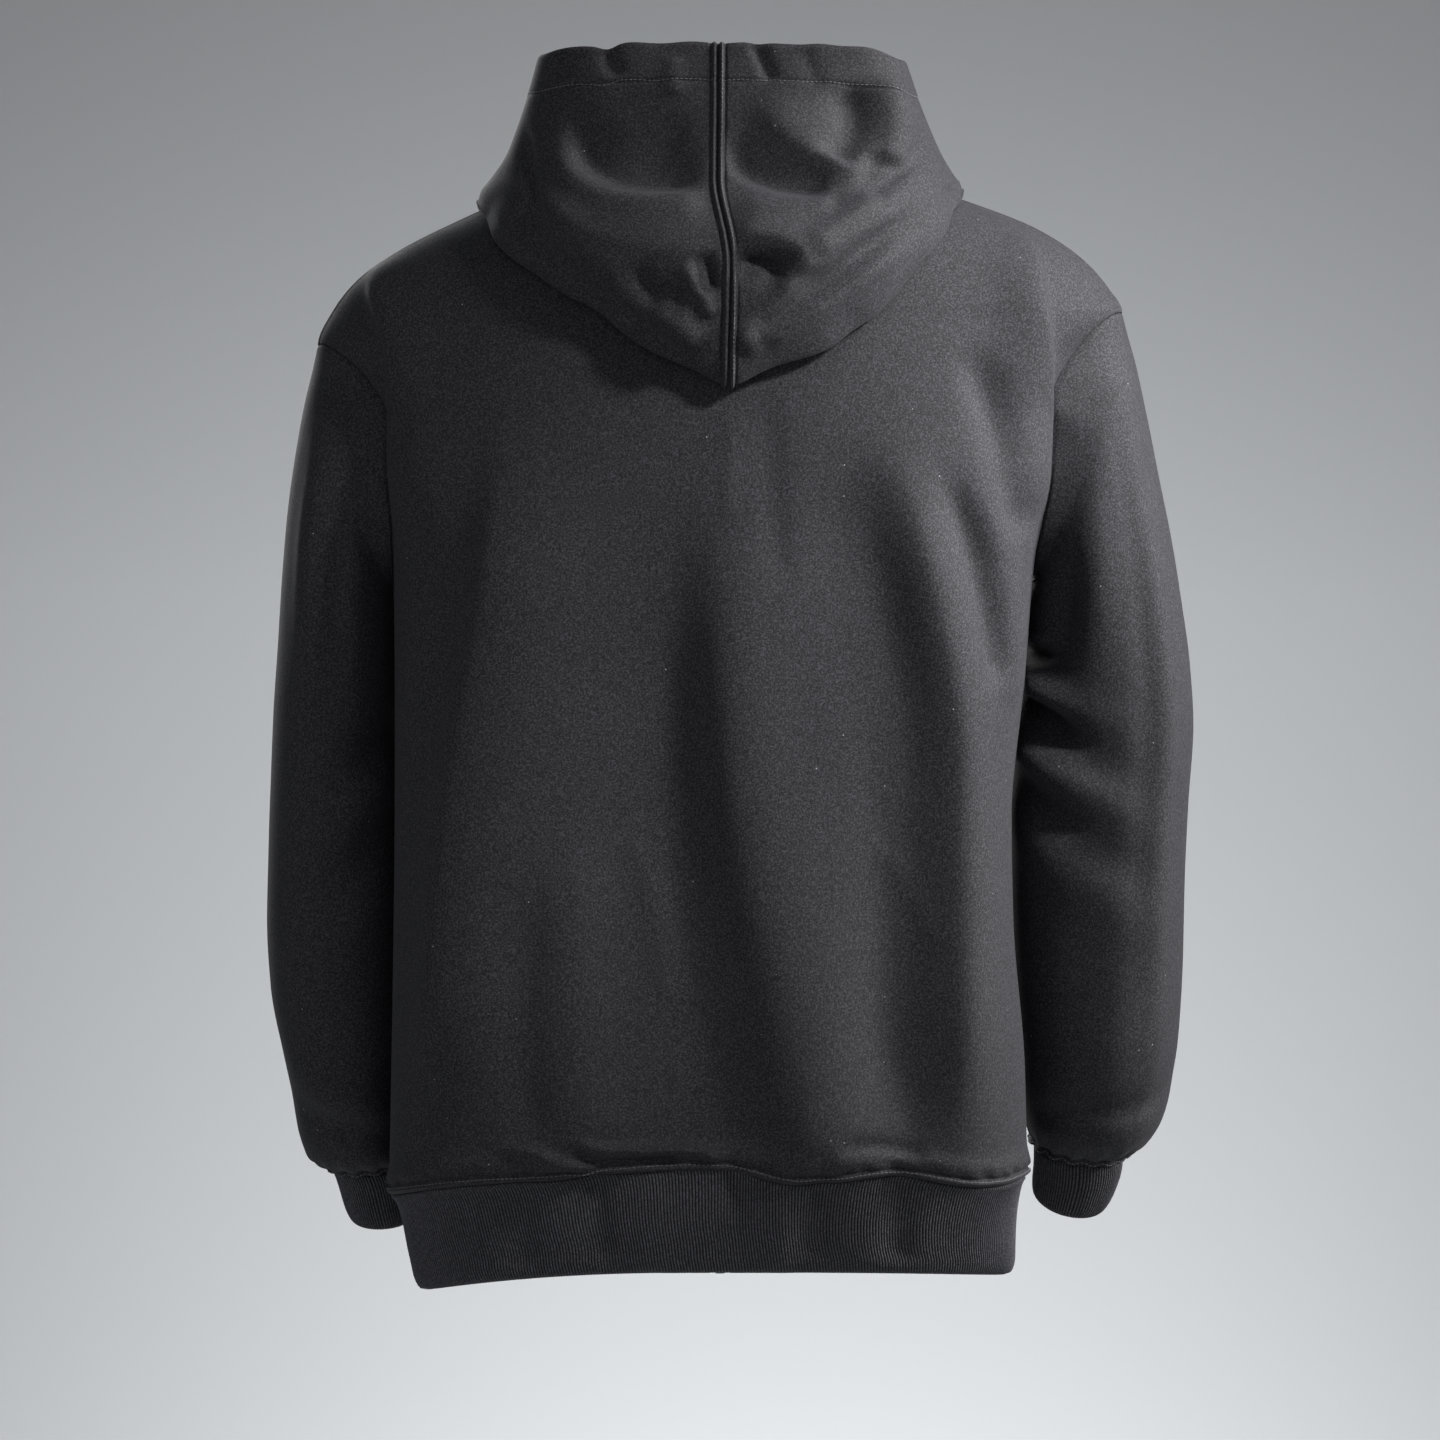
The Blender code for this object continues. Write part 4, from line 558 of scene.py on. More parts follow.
def ring_arcs(side_z):
    """For each side height, the arc from the left side to each of RING_ANGLES."""
    ring = trunk_plain(side_z[:, None], RING_ANGLES[None, :])
    pieces = np.linalg.norm(np.diff(ring, axis=1), axis=2)
    return np.concatenate([np.zeros((len(side_z), 1)), np.cumsum(pieces, axis=1)], axis=1)


def angles_at(arcs, wanted):
    """The loop angles at the wanted arcs, row by row. Negative arcs lie before the left side."""
    angles = np.concatenate([RING_ANGLES - TURN, RING_ANGLES[1:]])
    known = np.concatenate([arcs - arcs[:, -1:], arcs[:, 1:]], axis=1)
    return np.array([np.interp(row, arc, angles) for arc, row in zip(known, wanted)])


def seam_shift(side_z):
    known, shifts = zip(*SEAM_SHIFTS)
    return smooth_through(side_z, known, shifts)[..., 0]


def armhole_half(side_z):
    """The armhole's edge as a share of its half width: an ellipse from underarm to tip."""
    share = (side_z - (SHOULDER_TIP + UNDERARM) / 2) / ((SHOULDER_TIP - UNDERARM) / 2)
    return np.sqrt(1 - np.clip(share, -1, 1) ** 2)


def armhole_bump(side_z):
    """How far inner columns make way for the armhole: one wave of a raised cosine."""
    low, high = UNDERARM - ARMHOLE_SPREAD, SHOULDER_TIP + ARMHOLE_SPREAD
    share = np.clip((side_z - low) / (high - low), 0, 1)
    return 0.5 - 0.5 * np.cos(TURN * share)


def no_armhole(side_z):
    return np.zeros_like(side_z)


def panel_edges(side_z, armhole=armhole_half):
    """Ring arcs, each piece's two edges and the centre front, as arcs at each side height."""
    arcs = ring_arcs(side_z)
    shift = seam_shift(side_z)
    back = armhole(side_z) * ARMHOLE_BACK + SEAM_GAP / 2
    front = armhole(side_z) * ARMHOLE_FRONT + SEAM_GAP / 2
    whole, right = arcs[:, -1], arcs[:, RIGHT_SIDE_AT]
    middle = arcs[:, CENTRE_FRONT_AT] - whole
    edges = {
        "back_panel": (shift + back, right - shift - back),
        "front_left": (middle + ZIP_OPENING, shift - front),
        "front_right": (right - shift + front - whole, middle - ZIP_OPENING),
        "hem_rib": (middle + ZIP_OPENING, middle + whole - ZIP_OPENING),
    }
    return arcs, edges, middle


def piece_grid(side_z, piece, share):
    """Outer points and normals of a trunk piece, with columns at these shares of its width. The
    outermost follow the armhole's edge, the next ones more softly, and the middle ones not."""
    arcs, edges, _ = panel_edges(side_z)
    wanted = 0
    for (first, last), weight in (
        (panel_edges(side_z, no_armhole)[1][piece], lambda near: 1 - near),
        (panel_edges(side_z, armhole_bump)[1][piece], lambda near: near * (1 - near)),
        (edges[piece], lambda near: near * near),
    ):
        for edge, apart in ((first, share), (last, 1 - share)):
            near = np.clip(1 - apart / EDGE_SHARE[piece], 0, 1)
            wanted = wanted + edge[:, None] * (1 - apart) * weight(near)
    return trunk(side_z[:, None], angles_at(arcs, wanted))


# ---------------------------------------------------------------- colours and materials
def colour(hexadecimal):
    """An sRGB hex colour as linear red, green, blue and alpha."""
    channels = [int(hexadecimal[k : k + 2], 16) / 255 for k in (1, 3, 5)]
    linear = [c / 12.92 if c <= 0.04045 else ((c + 0.055) / 1.055) ** 2.4 for c in channels]
    return (*linear, 1.0)


def add_node(tree, kind, settings=None, inputs=None):
    """Adds a node with its settings, and links or sets its inputs. Returns the node."""
    node = tree.nodes.new("ShaderNode" + kind)
    for name, value in (settings or {}).items():
        setattr(node, name, value)
    for name, value in (inputs or {}).items():
        if isinstance(value, bpy.types.NodeSocket):
            tree.links.new(value, node.inputs[name])
        else:
            node.inputs[name].default_value = value
    return node


def new_material(name, base, roughness, **sockets):
    """A material with one Principled shader. Returns the material, its tree and the shader."""
    made = bpy.data.materials.new(name)
    made.use_nodes = True
    shader = made.node_tree.nodes["Principled BSDF"]
    shader.inputs["Base Color"].default_value = colour(base)
    shader.inputs["Roughness"].default_value = roughness
    for socket, value in sockets.items():
        shader.inputs[socket.replace("_", " ")].default_value = value
    return made, made.node_tree, shader


def thread_ramp(tree, value, stops):
    """A ramp between hex colours at their places."""
    ramp = add_node(tree, "ValToRGB", inputs={"Fac": value})
    elements = ramp.color_ramp.elements
    while len(elements) < len(stops):
        elements.new(0.5)
    for element, (place, shade) in zip(elements, stops):
        element.position = place
        element.color = colour(shade)
    return ramp.outputs["Color"]


def wave_bump(tree, shader, vector, waves, noise, strength, distance):
    """Adds the heights of thread rows (axis, scale, weight, distortion) to those of a fibre
    noise, and bends the shader's normal by them."""
    fibres = {"Vector": vector, "Scale": noise, "Detail": 3.0, "Roughness": 0.7}
    total = add_node(tree, "TexNoise", None, fibres).outputs["Fac"]
    for direction, scale, weight, distortion in waves:
        rows = {"bands_direction": direction, "wave_profile": "SIN"}
        shape = {"Scale": scale, "Distortion": distortion, "Detail": 1.0, "Detail Scale": 2.0}
        wave = add_node(tree, "TexWave", rows, {"Vector": vector, **shape}).outputs["Fac"]
        sum_of = {"operation": "MULTIPLY_ADD"}
        total = add_node(tree, "Math", sum_of, {0: wave, 1: weight, 2: total}).outputs[0]
    bump = add_node(tree, "Bump", None, {"Height": total, "Strength": strength, "Distance": distance})
    tree.links.new(bump.outputs["Normal"], shader.inputs["Normal"])


WAVES_PER_METRE = TURN / 20  # the scale at which a wave texture repeats once in a metre
# Spacing of heavy jersey's wales and courses, of the loops along a rib, and of a tape's threads
# and picks. The tape's and the fibres' grain, about 1.2 mm, are drawn coarser than they are,
# because finer ones don't show.
WALE, COURSE, RIB_LOOP = 0.0009, 0.0008, 0.0014
TAPE_THREAD, TAPE_PICK = 0.0009, 0.0007
FIBRE_BUMP = 0.0003


def cloth_lengthways(tree):
    """The pieces' own texture lengths, across and down the cloth."""
    return add_node(tree, "UVMap", {"uv_map": "cloth"}).outputs["UV"]


def knitted_cotton(name, base, scale, shades):
    """Black knitted cotton with a little sheen and a grain of paler and darker fibres. Returns
    the material, its tree, the shader, the place on the object and the grain's colour."""
    made, tree, shader = new_material(
        name, base, 0.72, Sheen_Weight=0.08, Sheen_Roughness=0.5, Specular_IOR_Level=0.35
    )
    shader.inputs["Sheen Tint"].default_value = colour("#cfcfd6")
    spot = add_node(tree, "TexCoord").outputs["Object"]
    fibres = {"Vector": spot, "Scale": scale, "Detail": 1.5, "Roughness": 0.7}
    grain = add_node(tree, "TexNoise", None, fibres).outputs["Fac"]
    return made, tree, shader, spot, thread_ramp(tree, grain, shades)


def fleece_jersey():
    """Heavy cotton jersey, knitted fine, dyed black and brushed inside. Its face has rows of
    tiny loops, a salt-and-pepper grain that catches light, and sparse specks of lint."""
    shades = ((0.36, "#1b1a1d"), (0.50, "#2e2d31"), (0.64, "#49484d"))
    made, tree, shader, spot, cloth = knitted_cotton("black_fleece_jersey", "#302f33", 820.0, shades)
    lint = add_node(tree, "TexVoronoi", None, {"Vector": spot, "Scale": 110.0})
    near = add_node(tree, "Math", {"operation": "LESS_THAN"}, {0: lint.outputs["Distance"], 1: 0.055})
    chance = add_node(tree, "SeparateColor", None, {"Color": lint.outputs["Color"]})
    rare = add_node(tree, "Math", {"operation": "GREATER_THAN"}, {0: chance.outputs["Red"], 1: 0.90})
    speck = add_node(tree, "Math", {"operation": "MULTIPLY"}, {0: near.outputs[0], 1: rare.outputs[0]})
    mixed = add_node(
        tree, "Mix", {"data_type": "RGBA"}, {0: speck.outputs[0], 6: cloth, 7: colour("#a9a8ad")}
    )
    tree.links.new(mixed.outputs[2], shader.inputs["Base Color"])
    wales = ("X", WAVES_PER_METRE / WALE, 0.22, 2.5)
    courses = ("Y", WAVES_PER_METRE / COURSE, 0.16, 2.5)
    wave_bump(tree, shader, cloth_lengthways(tree), (wales, courses), 900.0, 0.5, FIBRE_BUMP)
    return made


def rib_jersey():
    """Rib knit in cotton with elastane: the ribs themselves are modelled, so that the material
    only has the loops along them, the grain, a painted shade in the grooves and a painted
    highlight on the crowns."""
    # the crowns' grain is much paler than the cloth's: a painted highlight
    shades = ((0.36, "#424146"), (0.50, "#58575c"), (0.64, "#707076"))
    made, tree, shader, _, crown_grain_and_painted_highlight = knitted_cotton("black_rib_knit", "#29282b", 900.0, shades)
    # the ribs' height mixes a near-black painted shade into the grooves and the painted highlight onto the
    # crowns
    height = add_node(tree, "Attribute", {"attribute_name": RIB_PAINTED_SHADE_AND_HIGHLIGHT}).outputs["Fac"]
    mixed = add_node(tree, "Mix", {"data_type": "RGBA"}, {0: height, 6: colour("#040405"), 7: crown_grain_and_painted_highlight})
    tree.links.new(mixed.outputs[2], shader.inputs["Base Color"])
    courses = ("Y", WAVES_PER_METRE / RIB_LOOP, 0.5, 0.8)
    wave_bump(tree, shader, cloth_lengthways(tree), (courses,), 900.0, 0.4, FIBRE_BUMP)
    return made


def zip_tape_weave():
    """Woven polyester zip tape: a flat herringbone of fine threads, smoother than the cloth."""
    made, tree, shader = new_material(
        "black_zip_tape", "#1c1c1e", 0.72, Sheen_Weight=0.12, Sheen_Roughness=0.4
    )
    place = cloth_lengthways(tree)
    lengthways = ("X", WAVES_PER_METRE / TAPE_THREAD, 0.6, 0.3)
    across = ("Y", WAVES_PER_METRE / TAPE_PICK, 0.5, 0.3)
    shade = add_node(tree, "TexNoise", None, {"Vector": place, "Scale": 700.0, "Detail": 2.0})
    weave = thread_ramp(tree, shade.outputs["Fac"], ((0.35, "#151517"), (0.65, "#242426")))
    tree.links.new(weave, shader.inputs["Base Color"])
    wave_bump(tree, shader, place, (lengthways, across), 800.0, 0.4, FIBRE_BUMP)
    return made


def gunmetal():
    """Zinc die-cast with a dark nickel plating, tumbled smooth: teeth, slider, pull and box have
    soft highlights and rubbed, slightly paler high spots."""
    made, tree, shader = new_material("gunmetal_zip", "#56565a", 0.32, Metallic=1.0)
    spot = add_node(tree, "TexCoord").outputs["Object"]
    rubs = {"Vector": spot, "Scale": 380.0, "Detail": 3.0, "Roughness": 0.6}
    rubbed = add_node(tree, "TexNoise", None, rubs).outputs["Fac"]
    plating = thread_ramp(tree, rubbed, ((0.35, "#48484c"), (0.55, "#58585d"), (0.75, "#75757a")))
    tree.links.new(plating, shader.inputs["Base Color"])
    worn = add_node(tree, "MapRange", None, {"Value": rubbed, "To Min": 0.26, "To Max": 0.42})
    tree.links.new(worn.outputs["Result"], shader.inputs["Roughness"])
    return made


def sewing_thread():
    """Spun polyester thread, twisted and slightly glossy, a shade paler than the cloth."""
    made, tree, shader = new_material(
        "black_sewing_thread", "#5c5b60", 0.5, Sheen_Weight=0.2, Sheen_Roughness=0.4
    )
    spot = add_node(tree, "TexCoord").outputs["Object"]
    twist = add_node(tree, "TexNoise", None, {"Vector": spot, "Scale": 1500.0, "Detail": 1.0})
    plies = thread_ramp(tree, twist.outputs["Fac"], ((0.35, "#4a494e"), (0.65, "#77767b")))
    tree.links.new(plies, shader.inputs["Base Color"])
    return made


# ---------------------------------------------------------------- meshes
def mesh_piece(name, points, faces, finish, uv=None):
    """A mesh object from points, faces and one pair of texture lengths for each face corner."""
    mesh = bpy.data.meshes.new(name)
    corners = np.concatenate([np.asarray(f).ravel() for f in faces])
    sizes = np.concatenate([np.full(len(f), f.shape[1]) for f in faces])
    mesh.vertices.add(len(points))
    mesh.vertices.foreach_set("co", np.asarray(points, np.float32).ravel())
    mesh.loops.add(len(corners))
    mesh.loops.foreach_set("vertex_index", corners.astype(np.int32))
    mesh.polygons.add(len(sizes))
    starts = np.concatenate([[0], np.cumsum(sizes)[:-1]])
    mesh.polygons.foreach_set("loop_start", starts.astype(np.int32))
    mesh.polygons.foreach_set("loop_total", sizes.astype(np.int32))
    if uv is not None:
        layer = mesh.uv_layers.new(name="cloth")
        layer.data.foreach_set("uv", np.asarray(uv, np.float32).ravel())
    mesh.update(calc_edges=True)
    mesh.validate()
    mesh.shade_smooth()
    mesh.materials.append(finish)
    made = bpy.data.objects.new(name, mesh)
    bpy.context.scene.collection.objects.link(made)
    return made


def cloth_lengths(points, closed):
    """Texture lengths of a grid in metres: across from the first column by the mean of all rows,
    and down from the first row by the mean of all columns."""
    ring = np.concatenate([points, points[:, :1]], axis=1) if closed else points
    across = np.linalg.norm(np.diff(ring, axis=1), axis=2).mean(axis=0)
    down = np.linalg.norm(np.diff(points, axis=0), axis=2).mean(axis=1)
    u = np.concatenate([[0], np.cumsum(across)])
    v = -np.concatenate([[0], np.cumsum(down)])
    return np.stack(np.meshgrid(u, v), -1)


def quads(grid):
    """The faces of an index grid, turned so that they face out."""
    return np.stack([grid[:-1, :-1], grid[1:, :-1], grid[1:, 1:], grid[:-1, 1:]], -1).reshape(-1, 4)


def shell(name, outer, inner, finish, closed=False):
    """A closed wall between two grids of the same size, and its open edges bridged. Rows go down
    and columns turn from the left side to the back."""
    rows, columns = outer.shape[:2]
    lengths = cloth_lengths(outer, closed)
    index = np.arange(rows * columns).reshape(rows, columns)
    places = np.arange(lengths.shape[0] * lengths.shape[1]).reshape(lengths.shape[:2])
    if closed:
        index = np.concatenate([index, index[:, :1]], axis=1)
    back = index + rows * columns
    faces, marks = [quads(index), quads(back)[:, ::-1]], [quads(places), quads(places)[:, ::-1]]
    borders = [((0, slice(None)), False), ((-1, slice(None)), True)]
    if not closed:
        borders += [((slice(None), 0), True), ((slice(None), -1), False)]
    for where, turned in borders:
        for grid_out, grid_in, kept in ((index, back, faces), (places, places, marks)):
            a, b = grid_out[where], grid_in[where]
            strip = np.stack([a[:-1], a[1:], b[1:], b[:-1]], -1)
            kept.append(strip[:, ::-1] if turned else strip)
    uv = lengths.reshape(-1, 2)[np.concatenate([m.ravel() for m in marks])]
    points = np.concatenate([outer.reshape(-1, 3), inner.reshape(-1, 3)])
    made = mesh_piece(name, points, faces, finish, uv)
    made.data.set_sharp_from_angle(angle=math.radians(60))
    return made


def cloth_piece(made, node):
    """Hides the solid of a cloth piece, and puts the piece on the garment's body."""
    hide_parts(node)
    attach(made, "garment")


def from_edge(points, edge):
    """Distance along the cloth from one edge of a grid, at each of its points."""
    axis = 0 if edge in ("top", "bottom") else 1
    steps = np.linalg.norm(np.diff(points, axis=axis), axis=2)
    none = np.zeros_like(np.take(steps, [0], axis=axis))
    walked = np.concatenate([none, np.cumsum(steps, axis=axis)], axis=axis)
    if edge in ("bottom", "right"):
        walked = np.take(walked, [-1], axis=axis) - walked
    return walked


def stitched_down(apart, width=1.0):
    """Height at a distance from a seam whose allowance is stitched down: a bell-shaped ditch in
    the seam, a roll over the allowance and a shallow ditch under the stitches."""
    apart = apart / width
    ditch = SEAM_DITCH * bell(apart, DITCH_WIDTH)
    roll = SEAM_ROLL * bell(apart - ROLL_AT, ROLL_WIDTH)
    return roll - ditch - STITCH_DITCH * bell(apart - STITCHED_AT, DITCH_WIDTH)


def sewn(points, normals, plain_edges, stitched_edges=(), width=1.0):
    """The grid dips into its sewn edges like a bell, and rolls over the allowance of those that
    are stitched down."""
    height = np.zeros(points.shape[:2])
    for edge in plain_edges:
        height -= SEAM_DITCH * bell(from_edge(points, edge), DITCH_WIDTH)
    for edge in stitched_edges:
        height += stitched_down(from_edge(points, edge), width)
    return points + normals * height[..., None]


def swell_over(points):
    """Height of the cloth that swells beyond a stitched seam: a bell across it, with puckers of
    two uneven wave lengths along it."""
    apart = from_edge(points, "bottom")
    along = from_edge(points, "left")
    short, long, drift = PUCKER_WAVES
    pucker = np.sin(along / short + 2 * np.sin(along / drift)) + np.sin(along / long + 1.3)
    near_stitches = bell(apart - PUCKER_AT, PUCKER_WIDTH)
    return SWELL * bell(apart - SWELL_AT, SWELL_WIDTH) + PUCKER * pucker * near_stitches


def line_beside(points, edge, apart):
    """The line on a grid that runs at one distance from an edge, between the two nearest rows or
    columns."""
    walked = from_edge(points, edge)
    if edge in ("left", "right"):
        points, walked = points.swapaxes(0, 1), walked.swapaxes(0, 1)
    if edge in ("bottom", "right"):
        points, walked = points[::-1], walked[::-1]
    after = np.clip((walked < apart).sum(axis=0), 1, len(points) - 1)[None, :]
    low, high = np.take_along_axis(walked, after - 1, 0)[0], np.take_along_axis(walked, after, 0)[0]
    share = ((apart - low) / np.maximum(high - low, 1e-9))[:, None]
    start = np.take_along_axis(points, after[..., None] - 1, 0)[0]
    end = np.take_along_axis(points, after[..., None], 0)[0]
    return start + (end - start) * share


def prism_faces(count, rings, corners, first):
    """Faces of many prisms, each made of rings of corners: flanks, first caps and last caps.
    Their points are numbered from `first`, and the next free number is returned too."""
    block = np.arange(count * rings * corners).reshape(-1, rings, corners) + first
    ring = np.concatenate([block, block[:, :, :1]], axis=2)
    flanks = np.stack([ring[:, :-1, :-1], ring[:, 1:, :-1], ring[:, 1:, 1:], ring[:, :-1, 1:]], -1)
    return flanks.reshape(-1, 4), block[:, 0, :], block[:, -1, ::-1], first + block.size


def stitches(name, lines, finish):
    """Top stitching along lines of (points, normals): each stitch is a small spindle of five
    sides, half sunk in the cloth, at an even pitch along the line."""
    sides, rings = 5, 4
    around = np.linspace(0, TURN, sides, endpoint=False)
    ends = np.array([-0.5, -0.28, 0.28, 0.5])
    swell = np.array([0.25, 1.0, 1.0, 0.25])
    points, faces, count = [], [], 0
    for path, normal in lines:
        walked = line_lengths(path)
        middles = np.arange(STITCH_PITCH / 2, walked[-1], STITCH_PITCH)
        at = np.clip(middles[:, None] + ends * STITCH, 0, walked[-1])
        line, up = read_line(path, walked, at), unit(read_line(normal, walked, at))
        along = unit(line[:, -1] - line[:, 0])[:, None, :]
        side = unit(np.cross(along, up))
        reach = (THREAD * swell)[None, :, None, None]
        out = up[:, :, None, :]
        turned = side[:, :, None, :] * np.cos(around)[:, None] + out * np.sin(around)[:, None]
        spindle = line[:, :, None, :] + turned * reach + out * (THREAD * STITCH_PROUD)
        points.append(spindle.reshape(-1, 3))
        flanks, start, end, count = prism_faces(len(middles), rings, sides, count)
        faces += [flanks[:, ::-1], start, end]
    made = mesh_piece(name, np.concatenate(points), faces, finish)
    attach(made, "garment")


# ---------------------------------------------------------------- trunk pieces
HEM_ROWS, HEM_BAND = 38, 0.042  # rows of a panel in a band above the hem seam
PANEL_ROWS = (98, 62, 38)  # and those below, beside and above the armhole
RIB_ROWS, RIB_COLUMNS, RIB_FADE = 16, 2016, 0.02


def panel_rows(below, beside, above):
    """Side heights of a panel's rows: closest above the hem seam, and closer at both ends of the
    armhole."""
    seam = HEM_SEAM + SEAM_GAP / 2
    share = np.linspace(0, 1, HEM_ROWS + 1)[:-1]
    band = seam + HEM_BAND * (0.55 * share + 0.45 * share**2)
    low = np.linspace(seam + HEM_BAND, UNDERARM, below + 1)[:-1]
    turn = np.cos(np.linspace(math.pi, 0, beside + 1))
    hole = (SHOULDER_TIP + UNDERARM) / 2 + (SHOULDER_TIP - UNDERARM) / 2 * turn
    high = SHOULDER_TIP + (-SEAM_GAP / 2 - SHOULDER_TIP) * close_at_ends(above + 1, 0.4)[1:]
    return np.concatenate([band, low, hole, high])[::-1]


def make_panel(name, columns, plain_edges, stitched_edges, finish):
    """A panel of the trunk: its grid, swollen above the stitched hem seam, with its seams."""
    share = close_at_ends(columns + 1, 0.5)
    plain, normal = piece_grid(panel_rows(*PANEL_ROWS), name, share)
    swollen = plain + normal * swell_over(plain)[..., None]
    outer = sewn(swollen, normal, plain_edges, stitched_edges)
    made = shell(name + "_cloth", outer, plain - normal * CLOTH, finish)
    cloth_piece(made, name)
    return outer, normal


def rib_profile(phase):
    """Height of the ribs, from 0 in a groove to 1 on a rib: half a sine wave to a power that
    makes the crowns broad and the grooves narrow."""
    return np.abs(np.sin(math.pi * phase)) ** RIB_FULLNESS


def evenly(points, normals):
    """The grid with its columns moved along their rows, so that they lie at even distances."""
    walked = from_edge(points, "left")
    share = np.linspace(0, 1, points.shape[1])
    moved = [
        np.array([read_line(row, far, share * far[-1]) for far, row in zip(walked, values)])
        for values in (points, normals)
    ]
    return moved[0], unit(moved[1])


def rib_shell(name, plain, normal, count, curl, finish, closed=False):
    """A band of rib knit on a plain grid, with its ribs raised and its lower edge turned in along
    a quarter of an ellipse."""
    columns = plain.shape[1]
    rise = np.clip(1 - from_edge(plain, "bottom") / CURL_WIDTH, 0, 1)
    plain = plain - normal * (curl * (1 - np.sqrt(1 - rise**2)))[..., None]
    phase = np.arange(columns) / RIB_SAMPLES if closed else np.linspace(0, count, columns)
    profile = rib_profile(phase)
    relief = (profile - 1) * RIB_RELIEF
    below = from_edge(plain, "bottom")
    above = from_edge(plain, "top")
    rounded = -RIB_EDGE * bell(below, RIB_EDGE) - SEAM_DITCH * bell(above, DITCH_WIDTH)
    outer = plain + normal * (relief[None, :] + rounded)[..., None]
    inner = plain - normal * (RIB_CLOTH + rounded * (below < above) * 0.8)[..., None]
    made = shell(name, outer, inner, finish, closed)
    # the ribs' height is kept for the material, which paints shade into the grooves and a highlight on the
    # crowns from it
    height = made.data.attributes.new(RIB_PAINTED_SHADE_AND_HIGHLIGHT, "FLOAT", "POINT")
    height.data.foreach_set("value", np.tile(profile**2, 2 * len(plain)).astype(np.float32))
    return made


def make_hem_rib(finish):
    """The hem rib hangs from the panels' lower edge: its grid from seam to hem, less the drop."""
    top = HEM_SEAM - SEAM_GAP / 2
    side_z = top + (HEM_END - top) * close_at_ends(RIB_ROWS, 0.7)
    plain, normal = evenly(*piece_grid(side_z, "hem_rib", np.linspace(0, 1, RIB_COLUMNS + 1)))
    fade = smooth_step(1 - from_edge(plain, "top") / RIB_FADE)
    plain[..., 2] -= RIB_DROP * fade
    from_zip = np.minimum(from_edge(plain, "left"), from_edge(plain, "right"))
    curl = HEM_CURL * smooth_step((from_zip - CURL_FROM) / CURL_FADE)
    made = rib_shell("hem_rib_cloth", plain, normal, RIB_COLUMNS / RIB_SAMPLES, curl, finish)
    cloth_piece(made, "hem_rib")


# ---------------------------------------------------------------- sleeves and cuffs
def ring_angles(side, columns):
    """Angles round an arm from its outside, towards the back on the left side and towards the
    front on the right, so that both sleeves' grids face out."""
    return np.linspace(0, TURN, columns, endpoint=False) * side


def ring_points(rings, side, columns):
    """Closed rings between an outer and an inner end: across and in depth they are cosine and
    sine to the power 2 over their squareness."""
    angle = ring_angles(side, columns)
    table = np.array(rings)[:, None, :]
    outer_x, outer_z, inner_x, inner_z, y_mid, half_depth, back_drop = np.moveaxis(table, -1, 0)
    cos, sin = np.cos(angle), np.sin(angle)
    across = 0.5 + 0.5 * np.sign(cos) * np.abs(cos) ** (2 / RING_SQUARE)
    x = (inner_x + (outer_x - inner_x) * across) * side
    y = y_mid + half_depth * np.sign(sin) * np.abs(sin) ** (2 / RING_SQUARE)
    z = inner_z + (outer_z - inner_z) * across - back_drop * np.maximum(sin, 0)
    return np.stack([x, y, z], -1)


def armhole_ring(side, columns):
    """The sleeve's first ring, just inside the armhole, and the trunk's normals there."""
    angle = ring_angles(side, columns)
    middle, half = (SHOULDER_TIP + UNDERARM) / 2, (SHOULDER_TIP - UNDERARM) / 2 - SEAM_GAP
    side_z = middle + half * np.cos(angle)
    width = np.where(np.sin(angle) >= 0, ARMHOLE_BACK, ARMHOLE_FRONT) - SEAM_GAP / 2
    arcs = ring_arcs(side_z)
    offset = seam_shift(side_z) + width * np.sin(angle)
    wanted = offset if side == LEFT else arcs[:, RIGHT_SIDE_AT] - offset
    return trunk(side_z, angles_at(arcs, wanted[:, None])[:, 0])


def clear_of_trunk(point, clearance):
    """Moves points out along the trunk's normals, to at least their clearance from its side."""
    heights = np.linspace(HEM_END, SHOULDER_TIP, SIDE_SAMPLES)
    side_z, angle = np.meshgrid(heights, np.linspace(-SIDE_TURN, SIDE_TURN, SIDE_SAMPLES))
    skin, normal = trunk(side_z, angle if point[..., 0].mean() > 0 else angle + math.pi)
    skin, normal = skin.reshape(-1, 3), normal.reshape(-1, 3)
    moved = point.reshape(-1, 3).copy()
    wanted = np.broadcast_to(clearance, point.shape[:2]).ravel()
    near_side = np.abs(moved[:, 0]) < np.abs(skin[:, 0]).max() + NEAR_SIDE
    close, wanted = moved[near_side], wanted[near_side]
    for _ in range(2):
        for start in range(0, len(close), BATCH):
            some = close[start : start + BATCH]
            nearest = ((skin**2).sum(axis=1) - 2 * some @ skin.T).argmin(axis=1)
            height = ((some - skin[nearest]) * normal[nearest]).sum(axis=1)
            short = wanted[start : start + BATCH] - height
            some += normal[nearest] * np.clip(short, 0, None)[:, None]
    moved[near_side] = close
    return moved.reshape(point.shape)


def sleeve_creases(side, at, columns):
    """Height of the creases on a sleeve's grid: each is a bell along and round the arm, on a
    line that slopes with the angle, fading out at the armhole."""
    degrees = np.degrees(ring_angles(side, columns))
    total = np.zeros((len(at), columns))
    for crease in SLEEVE_CREASES:
        if crease.side != side:
            continue
        turn = (degrees - crease.angle + 180) % 360 - 180
        along = at[:, None] - crease.ring - crease.slope * turn
        total += crease.height * bell(along, crease.rings) * bell(turn, crease.degrees)
    return total * smooth_step(at / CREASES_START)[:, None]


